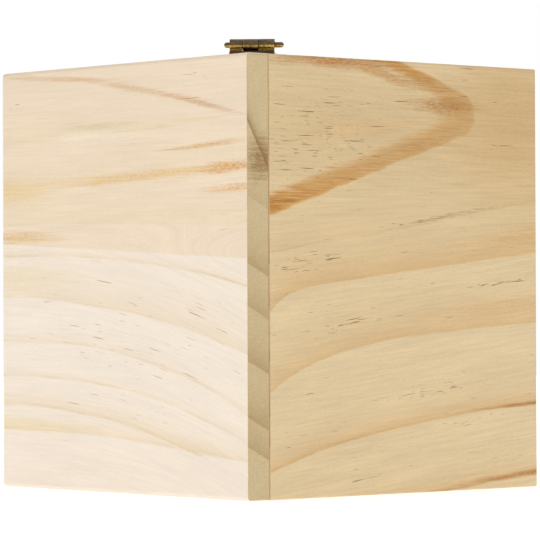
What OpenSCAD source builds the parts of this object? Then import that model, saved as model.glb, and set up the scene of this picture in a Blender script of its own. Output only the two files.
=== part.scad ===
/* [Box] */
// Outside width and depth of the box
box_w = 139.7; // [136:0.1:150]
// Outside height of the box
box_h = 152.4; // [150:0.1:165]
// Thickness of the four walls
wall_t = 10; // [9:0.5:11]
// Thickness of the base board
base_t = 8; // [6:0.5:10]
// Height of the deck's underside above the ground
deck_z = 56; // [56:1:60]
// Thickness of the deck board
deck_t = 5; // [4:0.5:5]
// Thickness of the lid
lid_t = 8; // [6:0.5:8]
// Gap all round the lid
lid_gap = 1; // [0.8:0.1:1.5]

/* [Lid hinge] */
// Length of the hinge along its pin
hinge_len = 15.5; // [12:0.1:16]
// Radius of the hinge knuckles
knuckle_r = 2.05; // [1.9:0.05:2.4]
// Radius of the hinge pin
hinge_pin_r = 0.95; // [0.8:0.05:1.1]
// Thickness of a hinge leaf
leaf_t = 0.9; // [0.8:0.05:1.2]
// Height of the knuckles' undersides above the box
knuckle_lift = 1.35; // [1.25:0.05:1.5]
// Width of the wall's leaf, from the pin's axis to its free edge
wall_leaf_w = 5.8; // [5.6:0.1:6]
// Width of the lid's leaf, from the pin's axis to its free edge
lid_leaf_w = 12; // [11:0.5:14]

/* [Crank] */
// Height of the crank shaft above the ground
crank_z = 40; // [38:0.5:41]
// Radius of the crank shaft
crank_r = 2.5; // [2:0.1:2.5]
// Distance from the shaft to the knob
crank_throw = 27; // [24:0.5:29]
// Radial clearance of every shaft in its bore
running_gap = 0.05; // [0.02:0.01:0.1]

/* [Musical movement] */
// Gear module, the pitch diameter for each tooth
gear_module = 0.8; // [0.7:0.05:0.8]
// Teeth on the crank gear
crank_teeth = 20; // [18:2:20]
// Teeth on the drum gear
drum_teeth = 40; // [36:4:40]
// Radius of the pinned drum
drum_r = 9; // [8:0.5:10]
// Number of notes on the drum and teeth on the comb
notes = 9; // [6:1:9]

/* [Jack] */
// Radius of the head
head_r = 18.5; // [16:0.5:18.5]
// Height of the closed spring
spring_h = 14; // [14:0.5:15]
// Turns of the spring
spring_turns = 8; // [6:1:8]
// Radius of the spring's wire
spring_wire_r = 0.65; // [0.5:0.05:0.7]
// Outer radius of the cloth sleeve
sleeve_r = 24; // [22:0.5:25]

/* [Hidden] */
$fn = 64;
half = box_w / 2;
inner = half - wall_t;
lid_half = inner - lid_gap;
lid_z = box_h - lid_t;
floor_z = base_t;
deck_top = deck_z + deck_t;
block = 12;

stop_h = 8;
stop_leg = 11;

// The hinge lies across the back left corner, over the corner of the opening.
hinge_z = box_h + knuckle_lift + knuckle_r;
knuckle_ends = [0, 0.29, 0.65, 1] * hinge_len;
knuckle_gap = 0.15;
web_t = 1.6;
leaf_start = 0.6;
leaf_clip = [3.2, 2.4];
hinge_shift = 0.9;
pin_left = 1.95;
pin_right = 3.1;
wall_screw_at = [2.3, 4.2];
lid_screw_at = [3.4, 9.2];

plate_t = 3;
plate_top = floor_z + plate_t;
gear_x = 23;
gear_t = 4;
crank_pitch_r = gear_module * crank_teeth / 2;
drum_pitch_r = gear_module * drum_teeth / 2;
drum_z = crank_z - 10;
drum_y = -sqrt(pow(crank_pitch_r + drum_pitch_r, 2) - pow(crank_z - drum_z, 2));
mesh_angle = atan2(drum_z - crank_z, drum_y);
backlash = 0.16;
drum_shaft_r = 1.5;
drum_x = [-8, 21];
note_pitch = (drum_x[1] - drum_x[0]) / notes;
pin_h = 0.9;
pin_rows = 5;
post_x = [-14, 28];
post_t = 3;
comb_z = drum_z - 1.2;
comb_t = 1.2;
comb_tip_y = drum_y - drum_r - pin_h - 0.3;
comb_back_y = -47;

latch_x = 39;
latch_t = 2;
latch_pivot = [-52, 44];
latch_arm_y = [-54, -50.5];
nose_y = -47.5;
nose_z = 138;
cam_lobe_r = 11;
latch_pin_r = 1.5;
bracket_t = 1.5;
bracket_side = 2.2;
bracket_y = [-55, -48.5, -38];
keeper_y = -45;
keeper_t = 1.1;
lip_z = nose_z - 0.5;

ring_h = 2.5;
ring_w = 3.5;
tack_r = 0.5;
seat_r = 15;
seat_h = 3;

jack_z = deck_top + spring_h;
platform_t = 4;
torso_z = jack_z + platform_t;
torso_h = 9;
head_z = torso_z + torso_h + head_r + 0.5;
neck_r = 4;
collar_z = torso_z + torso_h - 1;
spring_r = [17, 14];
eye_r = 2.2;
hat_z = head_z + 8;
hat_h = 19;
hat_band_h = 4;
pompom_r = 3;
arm_r = 3.8;
arm_l = 13;

bushing_r = 4.5;
flange_r = 7.5;
flange_t = 1.5;
arm_x = half + 4.2;
arm_t = 3;
knob_z = crank_z - crank_throw;
knob_l = 21;
knob_pin_r = 1.5;

// Each wood screw: the radius of its head, the radius of its shank, its length.
leaf_screw = [1.2, 0.6, leaf_t + 6];
deck_screw = [2.8, 1.4, 16];
keeper_screw = [1.6, 0.8, 6];
bracket_screw = [1.6, 0.8, bracket_t + 4];
plate_screw = [2.4, 1.2, plate_t + 4];
comb_screw = [1.8, 0.9, 8];
seat_screw_size = [2.8, 1.4, seat_h + 4];

// ---- Helpers ----

module block_between(low, high) {
  translate(low) cube(high - low);
}

// A round bar along X, from x0 to x1, centred on y, z.
module bar_x(x0, x1, y, z, r) {
  translate([x0, y, z]) rotate([0, 90, 0]) cylinder(h = x1 - x0, r = r);
}

// A drawing in the YZ plane, thickened along X.
module plate_x(x0, thick) {
  translate([x0, 0, 0]) rotate([90, 0, 90]) linear_extrude(thick) children();
}

// The hinge's own axes: X along its pin, Y from the box corner towards the lid.
module at_hinge() {
  translate([-inner, inner, 0]) rotate([0, 0, -135]) translate([hinge_shift, 0, 0]) children();
}

// A slotted wood screw whose head's top is at z = 0.
module wood_screw(size) {
  head_h = size[0] - size[1];
  difference() {
    union() {
      translate([0, 0, -head_h]) cylinder(h = head_h, r1 = size[1], r2 = size[0]);
      translate([0, 0, -size[2]]) cylinder(h = size[2] - head_h, r = size[1]);
    }
    translate([-size[0], -size[0] / 8, -head_h / 3]) cube([2 * size[0], size[0] / 4, head_h]);
  }
}

// The hole that such a screw fills.
module screw_hole(size) {
  head_h = size[0] - size[1];
  translate([0, 0, -head_h]) cylinder(h = head_h, r1 = size[1], r2 = size[0]);
  translate([0, 0, -size[2]]) cylinder(h = size[2], r = size[1]);
}

function involute(base, r) = let (a = acos(min(1, base / r))) tan(a) * 180 / PI - a;

// Half the angle that a tooth takes up at radius r.
function tooth_half(teeth, r) =
  let (pitch = gear_module * teeth / 2, base = pitch * cos(20))
    90 / teeth - backlash / 4 / pitch * 180 / PI
    + involute(base, pitch) - involute(base, max(r, base));

// An involute spur gear with a tooth on the X axis.
module gear_outline(teeth) {
  pitch = gear_module * teeth / 2;
  root = pitch - 1.25 * gear_module;
  tip = pitch + gear_module;
  flank = [for (i = [0:4]) max(root, pitch * cos(20)) + i / 4 * (tip - max(root, pitch * cos(20)))];
  polygon([
    for (t = [0:teeth - 1]) let (mid = 360 * t / teeth) each concat(
      [root * [cos(mid - tooth_half(teeth, root)), sin(mid - tooth_half(teeth, root))]],
      [for (r = flank) r * [cos(mid - tooth_half(teeth, r)), sin(mid - tooth_half(teeth, r))]],
      [for (i = [4:-1:0]) let (r = flank[i])
        r * [cos(mid + tooth_half(teeth, r)), sin(mid + tooth_half(teeth, r))]],
      [root * [cos(mid + tooth_half(teeth, root)), sin(mid + tooth_half(teeth, root))]]
    )
  ]);
}

// A coil of round wire, from radius r0 at the bottom to r1 at the top.
module coil(r0, r1, height, turns, wire_r, steps = 24, sides = 6) {
  rings = turns * steps;
  lift = height - 2 * wire_r;
  points = [for (i = [0:rings], s = [0:sides - 1])
    let (f = i / rings, a = 360 * turns * f, c = 360 * s / sides,
         r = r0 + (r1 - r0) * f + wire_r * cos(c))
      [r * cos(a), r * sin(a), wire_r + lift * f + wire_r * sin(c)]];
  walls = [for (i = [0:rings - 1], s = [0:sides - 1])
    let (a = i * sides + s, b = i * sides + (s + 1) % sides)
      [a, a + sides, b + sides, b]];
  polyhedron(points, concat(walls, [[for (s = [0:sides - 1]) s],
    [for (s = [sides - 1:-1:0]) rings * sides + s]]), convexity = 10);
}

// ---- Box ----

module back_wall() {
  color("wheat") difference() {
    block_between([-half, inner, 0], [half, half, box_h]);
    at_leaf_screws(-1) screw_hole(leaf_screw);
  }
}

// The left wall covers the front wall's end, and the back wall covers the left wall's.
module left_wall() {
  color("burlywood") block_between([-half, -half, 0], [-inner, inner, box_h]);
}

module front_wall() {
  color("wheat") block_between([-inner, -half, 0], [half, -inner, box_h]);
}

module right_wall() {
  color("burlywood") difference() {
    block_between([inner, -inner, 0], [half, inner, box_h]);
    bar_x(inner - 1, half + 1, 0, crank_z, bushing_r);
  }
}

module base_board() {
  color("wheat") difference() {
    block_between([-inner, -inner, 0], [inner, inner, base_t]);
    at_movement_screws() screw_hole(plate_screw);
    at_bracket_screws() screw_hole(bracket_screw);
  }
}

module deck_board() {
  color("tan") difference() {
    block_between([-inner, -inner, deck_z], [inner, inner, deck_top]);
    block_between([latch_x - 2.5, -inner - 1, deck_z - 1],
                  [latch_x + latch_t + 2.5, -44, deck_top + 1]);
    at_blocks() translate([0, 0, deck_top]) screw_hole(deck_screw);
    at_tacks() translate([0, 0, deck_top - ring_h]) cylinder(h = 2 * ring_h, r = tack_r, $fn = 24);
    translate([0, 0, deck_top + seat_h]) screw_hole(seat_screw_size);
  }
}

// The middle of each of the four corner blocks.
module at_blocks() {
  for (x = [-1, 1], y = [-1, 1])
    translate([x * (inner - block / 2), y * (inner - block / 2), 0]) children();
}

module corner_blocks() {
  color("wheat") difference() {
    at_blocks() translate([-block / 2, -block / 2, floor_z])
      cube([block, block, deck_z - floor_z]);
    at_blocks() translate([0, 0, deck_top]) screw_hole(deck_screw);
  }
}

module deck_screws() {
  color("goldenrod") at_blocks() translate([0, 0, deck_top]) wood_screw(deck_screw);
}

// Three-sided blocks under the lid in the three corners away from the hinge.
module lid_stops() {
  color("wheat") for (c = [[1, 1], [1, -1], [-1, -1]])
    translate([c[0] * inner, c[1] * inner, lid_z - stop_h - 0.2]) linear_extrude(stop_h)
      polygon([[0, 0], [-c[0] * stop_leg, 0], [0, -c[1] * stop_leg]]);
}

// ---- Lid ----

module lid_board() {
  color("wheat") difference() {
    block_between([-lid_half, -lid_half, lid_z], [lid_half, lid_half, box_h]);
    at_leaf_screws(1) screw_hole(leaf_screw);
    at_keeper_screws() screw_hole(keeper_screw);
  }
}

// side is 1 for the lid's leaf and -1 for the wall's.
module at_leaf_screws(side) {
  place = side > 0 ? lid_screw_at : wall_screw_at;
  at_hinge() for (x = [-1, 1])
    translate([x * place[0], side * place[1], box_h + leaf_t]) children();
}

// A plate with its far corners clipped off.
module leaf_plate(side, width, clip) {
  end = hinge_len / 2;
  linear_extrude(leaf_t) polygon([
    [-end, side * leaf_start], [end, side * leaf_start], [end, side * (width - clip)],
    [end - clip, side * width], [clip - end, side * width], [-end, side * (width - clip)]
  ]);
}

// A plate that stands on the wood, and its knuckles on webs above it.
module hinge_leaf(side, width, clip, knuckles) {
  color("goldenrod") difference() {
    at_hinge() {
      translate([0, 0, box_h]) leaf_plate(side, width, clip);
      for (k = knuckles) {
        knuckle = knuckle_ends[k + 1] - knuckle_ends[k] - knuckle_gap;
        translate([knuckle_ends[k] - hinge_len / 2 + knuckle_gap / 2, 0, 0]) {
          bar_x(0, knuckle, 0, hinge_z, knuckle_r);
          translate([0, side > 0 ? 0 : -web_t, box_h + leaf_t / 2])
            cube([knuckle, web_t, hinge_z - box_h - leaf_t / 2 - 0.3]);
        }
      }
    }
    at_hinge() bar_x(-hinge_len, hinge_len, 0, hinge_z, hinge_pin_r + running_gap);
    at_leaf_screws(side) screw_hole(leaf_screw);
  }
}

module hinge_leaf_fixed() {
  hinge_leaf(-1, wall_leaf_w, leaf_clip[0], [0, 2]);
}

module hinge_leaf_lid() {
  hinge_leaf(1, lid_leaf_w, leaf_clip[1], [1]);
}

module hinge_pin() {
  ends = [-hinge_len / 2 - pin_left + hinge_pin_r, hinge_len / 2 + pin_right - hinge_pin_r];
  color("goldenrod") at_hinge() {
    bar_x(ends[0], ends[1], 0, hinge_z, hinge_pin_r);
    for (x = ends) translate([x, 0, hinge_z]) sphere(r = hinge_pin_r);
  }
}

module hinge_screws_fixed() {
  color("goldenrod") at_leaf_screws(-1) wood_screw(leaf_screw);
}

module hinge_screws_lid() {
  color("goldenrod") at_leaf_screws(1) wood_screw(leaf_screw);
}

// ---- Catch ----

// The keeper's screws go up into the lid, so they are turned over.
module at_keeper_screws() {
  for (x = [-4, 4])
    translate([latch_x + latch_t / 2 + x, keeper_y + 6.5, lid_z - keeper_t]) mirror([0, 0, 1])
      children();
}

// A bent strip under the lid, with a lip that the latch's nose holds down.
module catch_keeper() {
  width = 14;
  color("goldenrod") difference() {
    plate_x(latch_x + latch_t / 2 - width / 2, width) union() {
      translate([keeper_y, lid_z - keeper_t]) square([11, keeper_t]);
      translate([keeper_y, lip_z - keeper_t]) square([keeper_t, lid_z - lip_z + keeper_t]);
      translate([latch_arm_y[1] + 0.7, lip_z - keeper_t])
        square([keeper_y - latch_arm_y[1], keeper_t]);
    }
    at_keeper_screws() screw_hole(keeper_screw);
  }
}

module keeper_screws() {
  color("goldenrod") at_keeper_screws() wood_screw(keeper_screw);
}

// A bell crank cut from strip: hooked nose at the top, finger over the trip cam at the foot.
module latch_lever() {
  finger_z = drum_z + cam_lobe_r + 0.4;
  color("silver") difference() {
    plate_x(latch_x, latch_t) union() {
      translate([latch_arm_y[0], latch_pivot[1]])
        square([latch_arm_y[1] - latch_arm_y[0], nose_z + 4 - latch_pivot[1]]);
      polygon([[latch_arm_y[1], nose_z], [nose_y, nose_z], [nose_y, nose_z + 1],
               [latch_arm_y[1], nose_z + 4]]);
      translate(latch_pivot) circle(r = 4.2);
      translate([latch_pivot[0], finger_z]) square([drum_y + 5 - latch_pivot[0], 4.6]);
    }
    bar_x(latch_x - 1, latch_x + latch_t + 1, latch_pivot[0], latch_pivot[1],
          latch_pin_r + running_gap);
  }
}

module at_bracket_screws() {
  for (y = [-51, -41.5])
    translate([latch_x - bracket_side - 3.6, y, floor_z + bracket_t]) children();
}

// A folded bracket on the base that carries the latch's pivot pin in two ears.
module latch_bracket() {
  low = latch_x - bracket_side;
  high = latch_x + latch_t + bracket_side;
  color("silver") difference() {
    union() {
      block_between([low - 5.5, bracket_y[0], floor_z],
                    [high + bracket_t, bracket_y[2], floor_z + bracket_t]);
      for (x = [low - bracket_t, high]) {
        block_between([x, bracket_y[0], floor_z], [x + bracket_t, bracket_y[1], latch_pivot[1]]);
        bar_x(x, x + bracket_t, (bracket_y[0] + bracket_y[1]) / 2, latch_pivot[1],
              (bracket_y[1] - bracket_y[0]) / 2);
      }
    }
    bar_x(low - 9, high + 9, latch_pivot[0], latch_pivot[1], latch_pin_r);
    at_bracket_screws() screw_hole(bracket_screw);
  }
}

module bracket_screws() {
  color("silver") at_bracket_screws() wood_screw(bracket_screw);
}

module latch_pivot_pin() {
  color("silver") bar_x(latch_x - 4.4, latch_x + latch_t + 4.4, latch_pivot[0], latch_pivot[1],
                        latch_pin_r);
}

// A small coil round the pivot pin, beside the lever.
module latch_spring() {
  color("gray") translate([latch_x + latch_t + 0.25, latch_pivot[0], latch_pivot[1]])
    rotate([0, 90, 0]) coil(2.1, 2.1, 1.7, 2, 0.25, 16, 6);
}

// ---- Crank ----

module crank_shaft() {
  color("silver") bar_x(post_x[0] - 2, arm_x + arm_t + 1, 0, crank_z, crank_r);
}

module shaft_bushing() {
  color("goldenrod") difference() {
    union() {
      bar_x(inner, half, 0, crank_z, bushing_r);
      bar_x(half, half + flange_t, 0, crank_z, flange_r);
    }
    bar_x(inner - 1, half + flange_t + 1, 0, crank_z, crank_r + running_gap);
  }
}

module crank_washer() {
  color("silver") difference() {
    bar_x(half + flange_t + 0.3, arm_x - 0.5, 0, crank_z, 5);
    bar_x(half, arm_x, 0, crank_z, crank_r);
  }
}

module shaft_collar() {
  color("goldenrod") difference() {
    union() {
      bar_x(inner - 6.5, inner - 0.5, 0, crank_z, 6);
      translate([inner - 3.5, 0, crank_z + 3]) cylinder(h = 3.8, r = 1.2);
    }
    bar_x(inner - 7, inner, 0, crank_z, crank_r);
  }
}

// A flat bar with round ends, pressed on the shaft.
module crank_arm() {
  end_r = 5;
  color("goldenrod") difference() {
    union() {
      bar_x(arm_x, arm_x + arm_t, 0, crank_z, end_r + 1);
      bar_x(arm_x, arm_x + arm_t, 0, knob_z, end_r);
      block_between([arm_x, -end_r * 0.8, knob_z], [arm_x + arm_t, end_r * 0.8, crank_z]);
    }
    bar_x(arm_x - 1, arm_x + arm_t + 1, 0, crank_z, crank_r);
    bar_x(arm_x - 1, arm_x + arm_t + 1, 0, knob_z, knob_pin_r);
  }
}

module knob_pin() {
  color("silver") {
    bar_x(arm_x, arm_x + arm_t + knob_l + 1, 0, knob_z, knob_pin_r);
    bar_x(arm_x + arm_t + knob_l + 0.8, arm_x + arm_t + knob_l + 2, 0, knob_z, 2.8);
  }
}

// A turned wooden grip, thickest near its free end.
module crank_knob() {
  start = arm_x + arm_t + 0.4;
  outline = [for (i = [0:16]) let (f = i / 16)
    [3.4 + 2.6 * sin(180 * pow(f, 1.3)) + 0.5 * f, f * knob_l]];
  color("firebrick") translate([start, 0, knob_z]) rotate([0, 90, 0]) rotate_extrude()
    polygon(concat([[knob_pin_r + running_gap, 0]], outline,
                   [[knob_pin_r + running_gap, knob_l]]));
}

module crank_gear() {
  color("goldenrod") difference() {
    translate([0, 0, crank_z]) plate_x(gear_x, gear_t) rotate(mesh_angle)
      gear_outline(crank_teeth);
    bar_x(gear_x - 1, gear_x + gear_t + 1, 0, crank_z, crank_r);
  }
}

// ---- Musical movement ----

module at_movement_screws() {
  for (p = [[post_x[0] - 4.5, -42], [post_x[0] - 4.5, 9], [post_x[1] - 10, 9]])
    translate([p[0], p[1], plate_top]) children();
}

module movement_plate() {
  color("dimgray") difference() {
    block_between([post_x[0] - 9, comb_back_y - 1, floor_z],
                  [post_x[1] + post_t, 13, plate_top]);
    at_movement_screws() screw_hole(plate_screw);
  }
}

module movement_screws() {
  color("silver") at_movement_screws() wood_screw(plate_screw);
}

// Two upright plates that carry the crank shaft and the drum shaft.
module bearing_posts() {
  color("goldenrod") for (x = post_x) difference() {
    plate_x(x, post_t) polygon([[drum_y - 6, plate_top], [6, plate_top], [6, crank_z + 5],
                                [-6, crank_z + 5], [drum_y - 6, drum_z + 6]]);
    bar_x(x - 1, x + post_t + 1, 0, crank_z, crank_r + running_gap);
    bar_x(x - 1, x + post_t + 1, drum_y, drum_z, drum_shaft_r + running_gap);
  }
}

module drum_shaft() {
  color("silver") bar_x(post_x[0] - 2, latch_x + latch_t + 2.5, drum_y, drum_z, drum_shaft_r);
}

// The tune is a row of short pins for each note, set at steps round the drum.
module tune_drum() {
  color("gold") difference() {
    union() {
      bar_x(drum_x[0], drum_x[1], drum_y, drum_z, drum_r);
      for (n = [0:notes - 1], i = [0:pin_rows - 1])
        translate([drum_x[0] + (n + 0.5) * note_pitch, drum_y, drum_z])
          rotate([(n * 47 + i * (360 / pin_rows) + 13 * (n * i % 3)) % 360, 0, 0])
            cylinder(h = drum_r + pin_h, r = 0.35, $fn = 16);
    }
    bar_x(drum_x[0] - 1, drum_x[1] + 1, drum_y, drum_z, drum_shaft_r);
  }
}

module drum_gear() {
  color("goldenrod") difference() {
    translate([0, drum_y, drum_z]) plate_x(gear_x, gear_t)
      rotate(mesh_angle + 180 + 180 / drum_teeth) gear_outline(drum_teeth);
    bar_x(gear_x - 1, gear_x + gear_t + 1, drum_y, drum_z, drum_shaft_r);
  }
}

// A disc with one lobe, under the latch's finger.
module trip_cam() {
  color("goldenrod") difference() {
    plate_x(latch_x - 1.5, latch_t + 3) translate([drum_y, drum_z]) union() {
      circle(r = 6);
      rotate(215) {
        translate([0, -3]) square([cam_lobe_r - 3, 6]);
        translate([cam_lobe_r - 3, 0]) circle(r = 3);
      }
    }
    bar_x(latch_x - 2, latch_x + latch_t + 2, drum_y, drum_z, drum_shaft_r);
  }
}

module at_comb_screws() {
  for (n = [1.5, notes / 2, notes - 1.5])
    translate([drum_x[0] + n * note_pitch, comb_back_y + 3.5, comb_z + comb_t]) children();
}

module comb_bed() {
  color("dimgray") difference() {
    block_between([drum_x[0], comb_back_y, plate_top], [drum_x[1], comb_back_y + 6.5, comb_z]);
    at_comb_screws() screw_hole(comb_screw);
  }
}

// One steel plate, slotted into a tooth for each note.
module tone_comb() {
  color("silver") difference() {
    block_between([drum_x[0], comb_back_y, comb_z], [drum_x[1], comb_tip_y, comb_z + comb_t]);
    for (n = [0:notes])
      block_between([drum_x[0] + n * note_pitch - 0.4, comb_back_y + 7.5, comb_z - 1],
                    [drum_x[0] + n * note_pitch + 0.4, comb_tip_y + 1, comb_z + comb_t + 1]);
    at_comb_screws() screw_hole(comb_screw);
  }
}

module comb_screws() {
  color("silver") at_comb_screws() wood_screw(comb_screw);
}

// ---- Spring and sleeve ----

module pop_spring() {
  color("silver") translate([0, 0, deck_top])
    coil(spring_r[0], spring_r[1], spring_h, spring_turns, spring_wire_r);
}

// A turned disc that the spring's lowest turns sit round, and are glued to.
module spring_seat() {
  color("burlywood") difference() {
    translate([0, 0, deck_top]) cylinder(h = seat_h, r = seat_r);
    translate([0, 0, deck_top + seat_h]) screw_hole(seat_screw_size);
  }
}

module seat_screw() {
  color("goldenrod") translate([0, 0, deck_top + seat_h]) wood_screw(seat_screw_size);
}

// The cloth tube that hides the spring, closed up with it.
module cloth_sleeve() {
  color("firebrick") translate([0, 0, deck_top]) difference() {
    cylinder(h = torso_z - deck_top - 0.2, r = sleeve_r);
    translate([0, 0, -1]) cylinder(h = torso_z - deck_top + 2, r = sleeve_r - 1.2);
  }
}

// A ring that clamps the sleeve's hem to the deck.
module sleeve_ring() {
  color("burlywood") translate([0, 0, deck_top]) difference() {
    cylinder(h = ring_h, r = sleeve_r + ring_w);
    translate([0, 0, -1]) cylinder(h = ring_h + 2, r = sleeve_r + 0.1);
    at_tacks() translate([0, 0, -1]) cylinder(h = ring_h + 2, r = tack_r, $fn = 24);
  }
}

module at_tacks() {
  for (a = [0:60:300]) rotate(a) translate([sleeve_r + ring_w / 2, 0, 0]) children();
}

module sleeve_tacks() {
  color("goldenrod") translate([0, 0, deck_top]) at_tacks() {
    translate([0, 0, -ring_h]) cylinder(h = 2 * ring_h, r = tack_r, $fn = 24);
    translate([0, 0, ring_h]) cylinder(h = 0.6, r1 = 1.3, r2 = 0.9, $fn = 32);
  }
}

// ---- Jack ----

module platform_disc() {
  color("burlywood") translate([0, 0, jack_z]) difference() {
    cylinder(h = platform_t, r = sleeve_r - 2.4);
    translate([0, 0, platform_t / 2]) cylinder(h = platform_t, r = neck_r);
  }
}

// The padded shoulders, a ring round the neck.
module torso() {
  color("firebrick") translate([0, 0, torso_z]) rotate_extrude() polygon(concat(
    [[neck_r, 0], [sleeve_r - 2, 0]],
    [for (a = [0:10:90]) [9 + (sleeve_r - 9) * cos(a), 2 + (torso_h - 3.2) * sin(a)]],
    [[neck_r, torso_h - 1.2]]
  ));
}

module neck_dowel() {
  color("burlywood") translate([0, 0, jack_z + platform_t / 2])
    cylinder(h = head_z - head_r + 8 - jack_z - platform_t / 2, r = neck_r);
}

module collar_ruff() {
  color("gold") translate([0, 0, collar_z]) difference() {
    cylinder(h = 1.8, r = 25);
    translate([0, 0, -1]) cylinder(h = 4, r = 8);
  }
}

module head() {
  color("bisque") difference() {
    translate([0, 0, head_z]) sphere(r = head_r, $fn = 96);
    translate([0, 0, head_z - head_r - 1]) cylinder(h = 9, r = neck_r);
    at_nose() translate([0, 0, -1.5]) cylinder(h = 5, r = 1, $fn = 32);
    at_eyes() sphere(r = eye_r);
  }
}

// The face looks forwards, along -Y. Z points out of the head at each of its pieces.
module at_nose() {
  translate([0, 0, head_z]) rotate([90, 0, 0]) translate([0, 0, head_r]) children();
}

module at_eyes() {
  for (x = [-1, 1])
    translate([0, 0, head_z]) rotate([74, 0, x * 20]) translate([0, 0, head_r]) children();
}

module nose() {
  color("red") at_nose() {
    translate([0, 0, -1.5]) cylinder(h = 3, r = 1, $fn = 32);
    translate([0, 0, 3.6]) sphere(r = 3.4, $fn = 48);
  }
}

module eyes() {
  color("black") at_eyes() intersection() {
    sphere(r = eye_r);
    translate([-3, -3, -3]) cube([6, 6, 3.5]);
  }
}

// A felt cone that fits over the top of the head.
module hat() {
  color("royalblue") difference() {
    translate([0, 0, hat_z]) {
      cylinder(h = hat_band_h, r = head_r);
      translate([0, 0, hat_band_h]) cylinder(h = hat_h - hat_band_h, r1 = head_r - 1.5, r2 = 2.4);
    }
    translate([0, 0, head_z]) sphere(r = head_r + 0.3, $fn = 96);
    at_pompom() sphere(r = pompom_r, $fn = 48);
  }
}

module at_pompom() {
  translate([0, 0, hat_z + hat_h + pompom_r - 0.4]) children();
}

module hat_pompom() {
  color("gold") at_pompom() sphere(r = pompom_r, $fn = 48);
}

// side is -1 on the left and 1 on the right.
module at_shoulder(side) {
  translate([side * (sleeve_r + 4.4), 0, torso_z + 3.5]) rotate([0, side * 125, 0]) children();
}

module arm(side) {
  color("firebrick") at_shoulder(side) {
    sphere(r = arm_r, $fn = 48);
    cylinder(h = arm_l, r = arm_r);
  }
}

module hand(side) {
  color("bisque") at_shoulder(side) translate([0, 0, arm_l + arm_r + 0.1])
    sphere(r = arm_r - 0.1, $fn = 48);
}

module left_arm() {
  arm(-1);
}

module right_arm() {
  arm(1);
}

module left_hand() {
  hand(-1);
}

module right_hand() {
  hand(1);
}

back_wall();
left_wall();
front_wall();
right_wall();
base_board();
deck_board();
corner_blocks();
deck_screws();
lid_stops();
lid_board();
hinge_leaf_fixed();
hinge_leaf_lid();
hinge_pin();
hinge_screws_fixed();
hinge_screws_lid();
catch_keeper();
keeper_screws();
latch_lever();
latch_bracket();
latch_pivot_pin();
latch_spring();
bracket_screws();
crank_shaft();
crank_arm();
crank_washer();
shaft_collar();
shaft_bushing();
knob_pin();
crank_knob();
crank_gear();
movement_plate();
movement_screws();
bearing_posts();
drum_shaft();
tune_drum();
drum_gear();
trip_cam();
comb_bed();
tone_comb();
comb_screws();
pop_spring();
spring_seat();
seat_screw();
cloth_sleeve();
sleeve_ring();
sleeve_tacks();
platform_disc();
torso();
neck_dowel();
collar_ruff();
head();
nose();
eyes();
hat();
hat_pompom();
left_arm();
right_arm();
left_hand();
right_hand();
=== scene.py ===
"""Looks of a bare pine jack in the box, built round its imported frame."""

import logging
import math
import random
from dataclasses import dataclass, field
from enum import Enum
from typing import Callable, Sequence

import bmesh
import bpy
from mathutils import Matrix, Vector

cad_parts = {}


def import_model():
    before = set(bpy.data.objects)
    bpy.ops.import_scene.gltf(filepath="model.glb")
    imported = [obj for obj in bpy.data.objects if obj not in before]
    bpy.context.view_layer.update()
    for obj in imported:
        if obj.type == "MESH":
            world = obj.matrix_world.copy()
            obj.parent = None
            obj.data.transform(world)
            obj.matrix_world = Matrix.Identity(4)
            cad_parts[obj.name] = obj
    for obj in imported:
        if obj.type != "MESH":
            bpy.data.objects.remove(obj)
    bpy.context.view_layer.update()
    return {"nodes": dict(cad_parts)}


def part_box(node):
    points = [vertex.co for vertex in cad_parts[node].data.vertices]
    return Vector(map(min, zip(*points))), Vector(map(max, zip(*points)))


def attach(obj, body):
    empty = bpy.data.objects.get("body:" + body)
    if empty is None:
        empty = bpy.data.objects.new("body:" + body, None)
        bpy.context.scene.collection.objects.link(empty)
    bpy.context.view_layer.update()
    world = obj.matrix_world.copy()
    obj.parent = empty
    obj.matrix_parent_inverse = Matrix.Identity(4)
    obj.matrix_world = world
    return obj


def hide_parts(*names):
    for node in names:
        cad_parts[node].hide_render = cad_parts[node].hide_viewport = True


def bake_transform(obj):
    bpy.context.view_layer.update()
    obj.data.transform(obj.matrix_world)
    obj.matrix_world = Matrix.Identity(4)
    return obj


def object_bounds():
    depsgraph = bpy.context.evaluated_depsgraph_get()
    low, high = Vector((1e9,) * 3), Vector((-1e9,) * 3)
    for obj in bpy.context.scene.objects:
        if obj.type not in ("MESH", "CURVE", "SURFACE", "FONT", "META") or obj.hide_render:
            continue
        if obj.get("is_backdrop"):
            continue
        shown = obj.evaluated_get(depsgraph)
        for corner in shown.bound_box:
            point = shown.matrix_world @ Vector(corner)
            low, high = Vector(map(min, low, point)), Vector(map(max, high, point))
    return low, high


LOG = logging.getLogger("jack_in_the_box")
MM = 0.001

Colour = tuple[float, float, float]
Value = float | bpy.types.NodeSocket


def tint(red: int, green: int, blue: int) -> tuple[float, float, float, float]:
    """Give a display colour as the linear colour that shaders take.

    Args:
        red: red, 0 to 255.
        green: green, 0 to 255.
        blue: blue, 0 to 255.

    Returns:
        Linear red, green, blue and an alpha of 1.
    """
    linear = [
        part / 12.92 if part <= 0.04045 else ((part + 0.055) / 1.055) ** 2.4
        for part in (red / 255, green / 255, blue / 255)
    ]
    return (linear[0], linear[1], linear[2], 1.0)


# ---- Writing node trees ----


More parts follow.
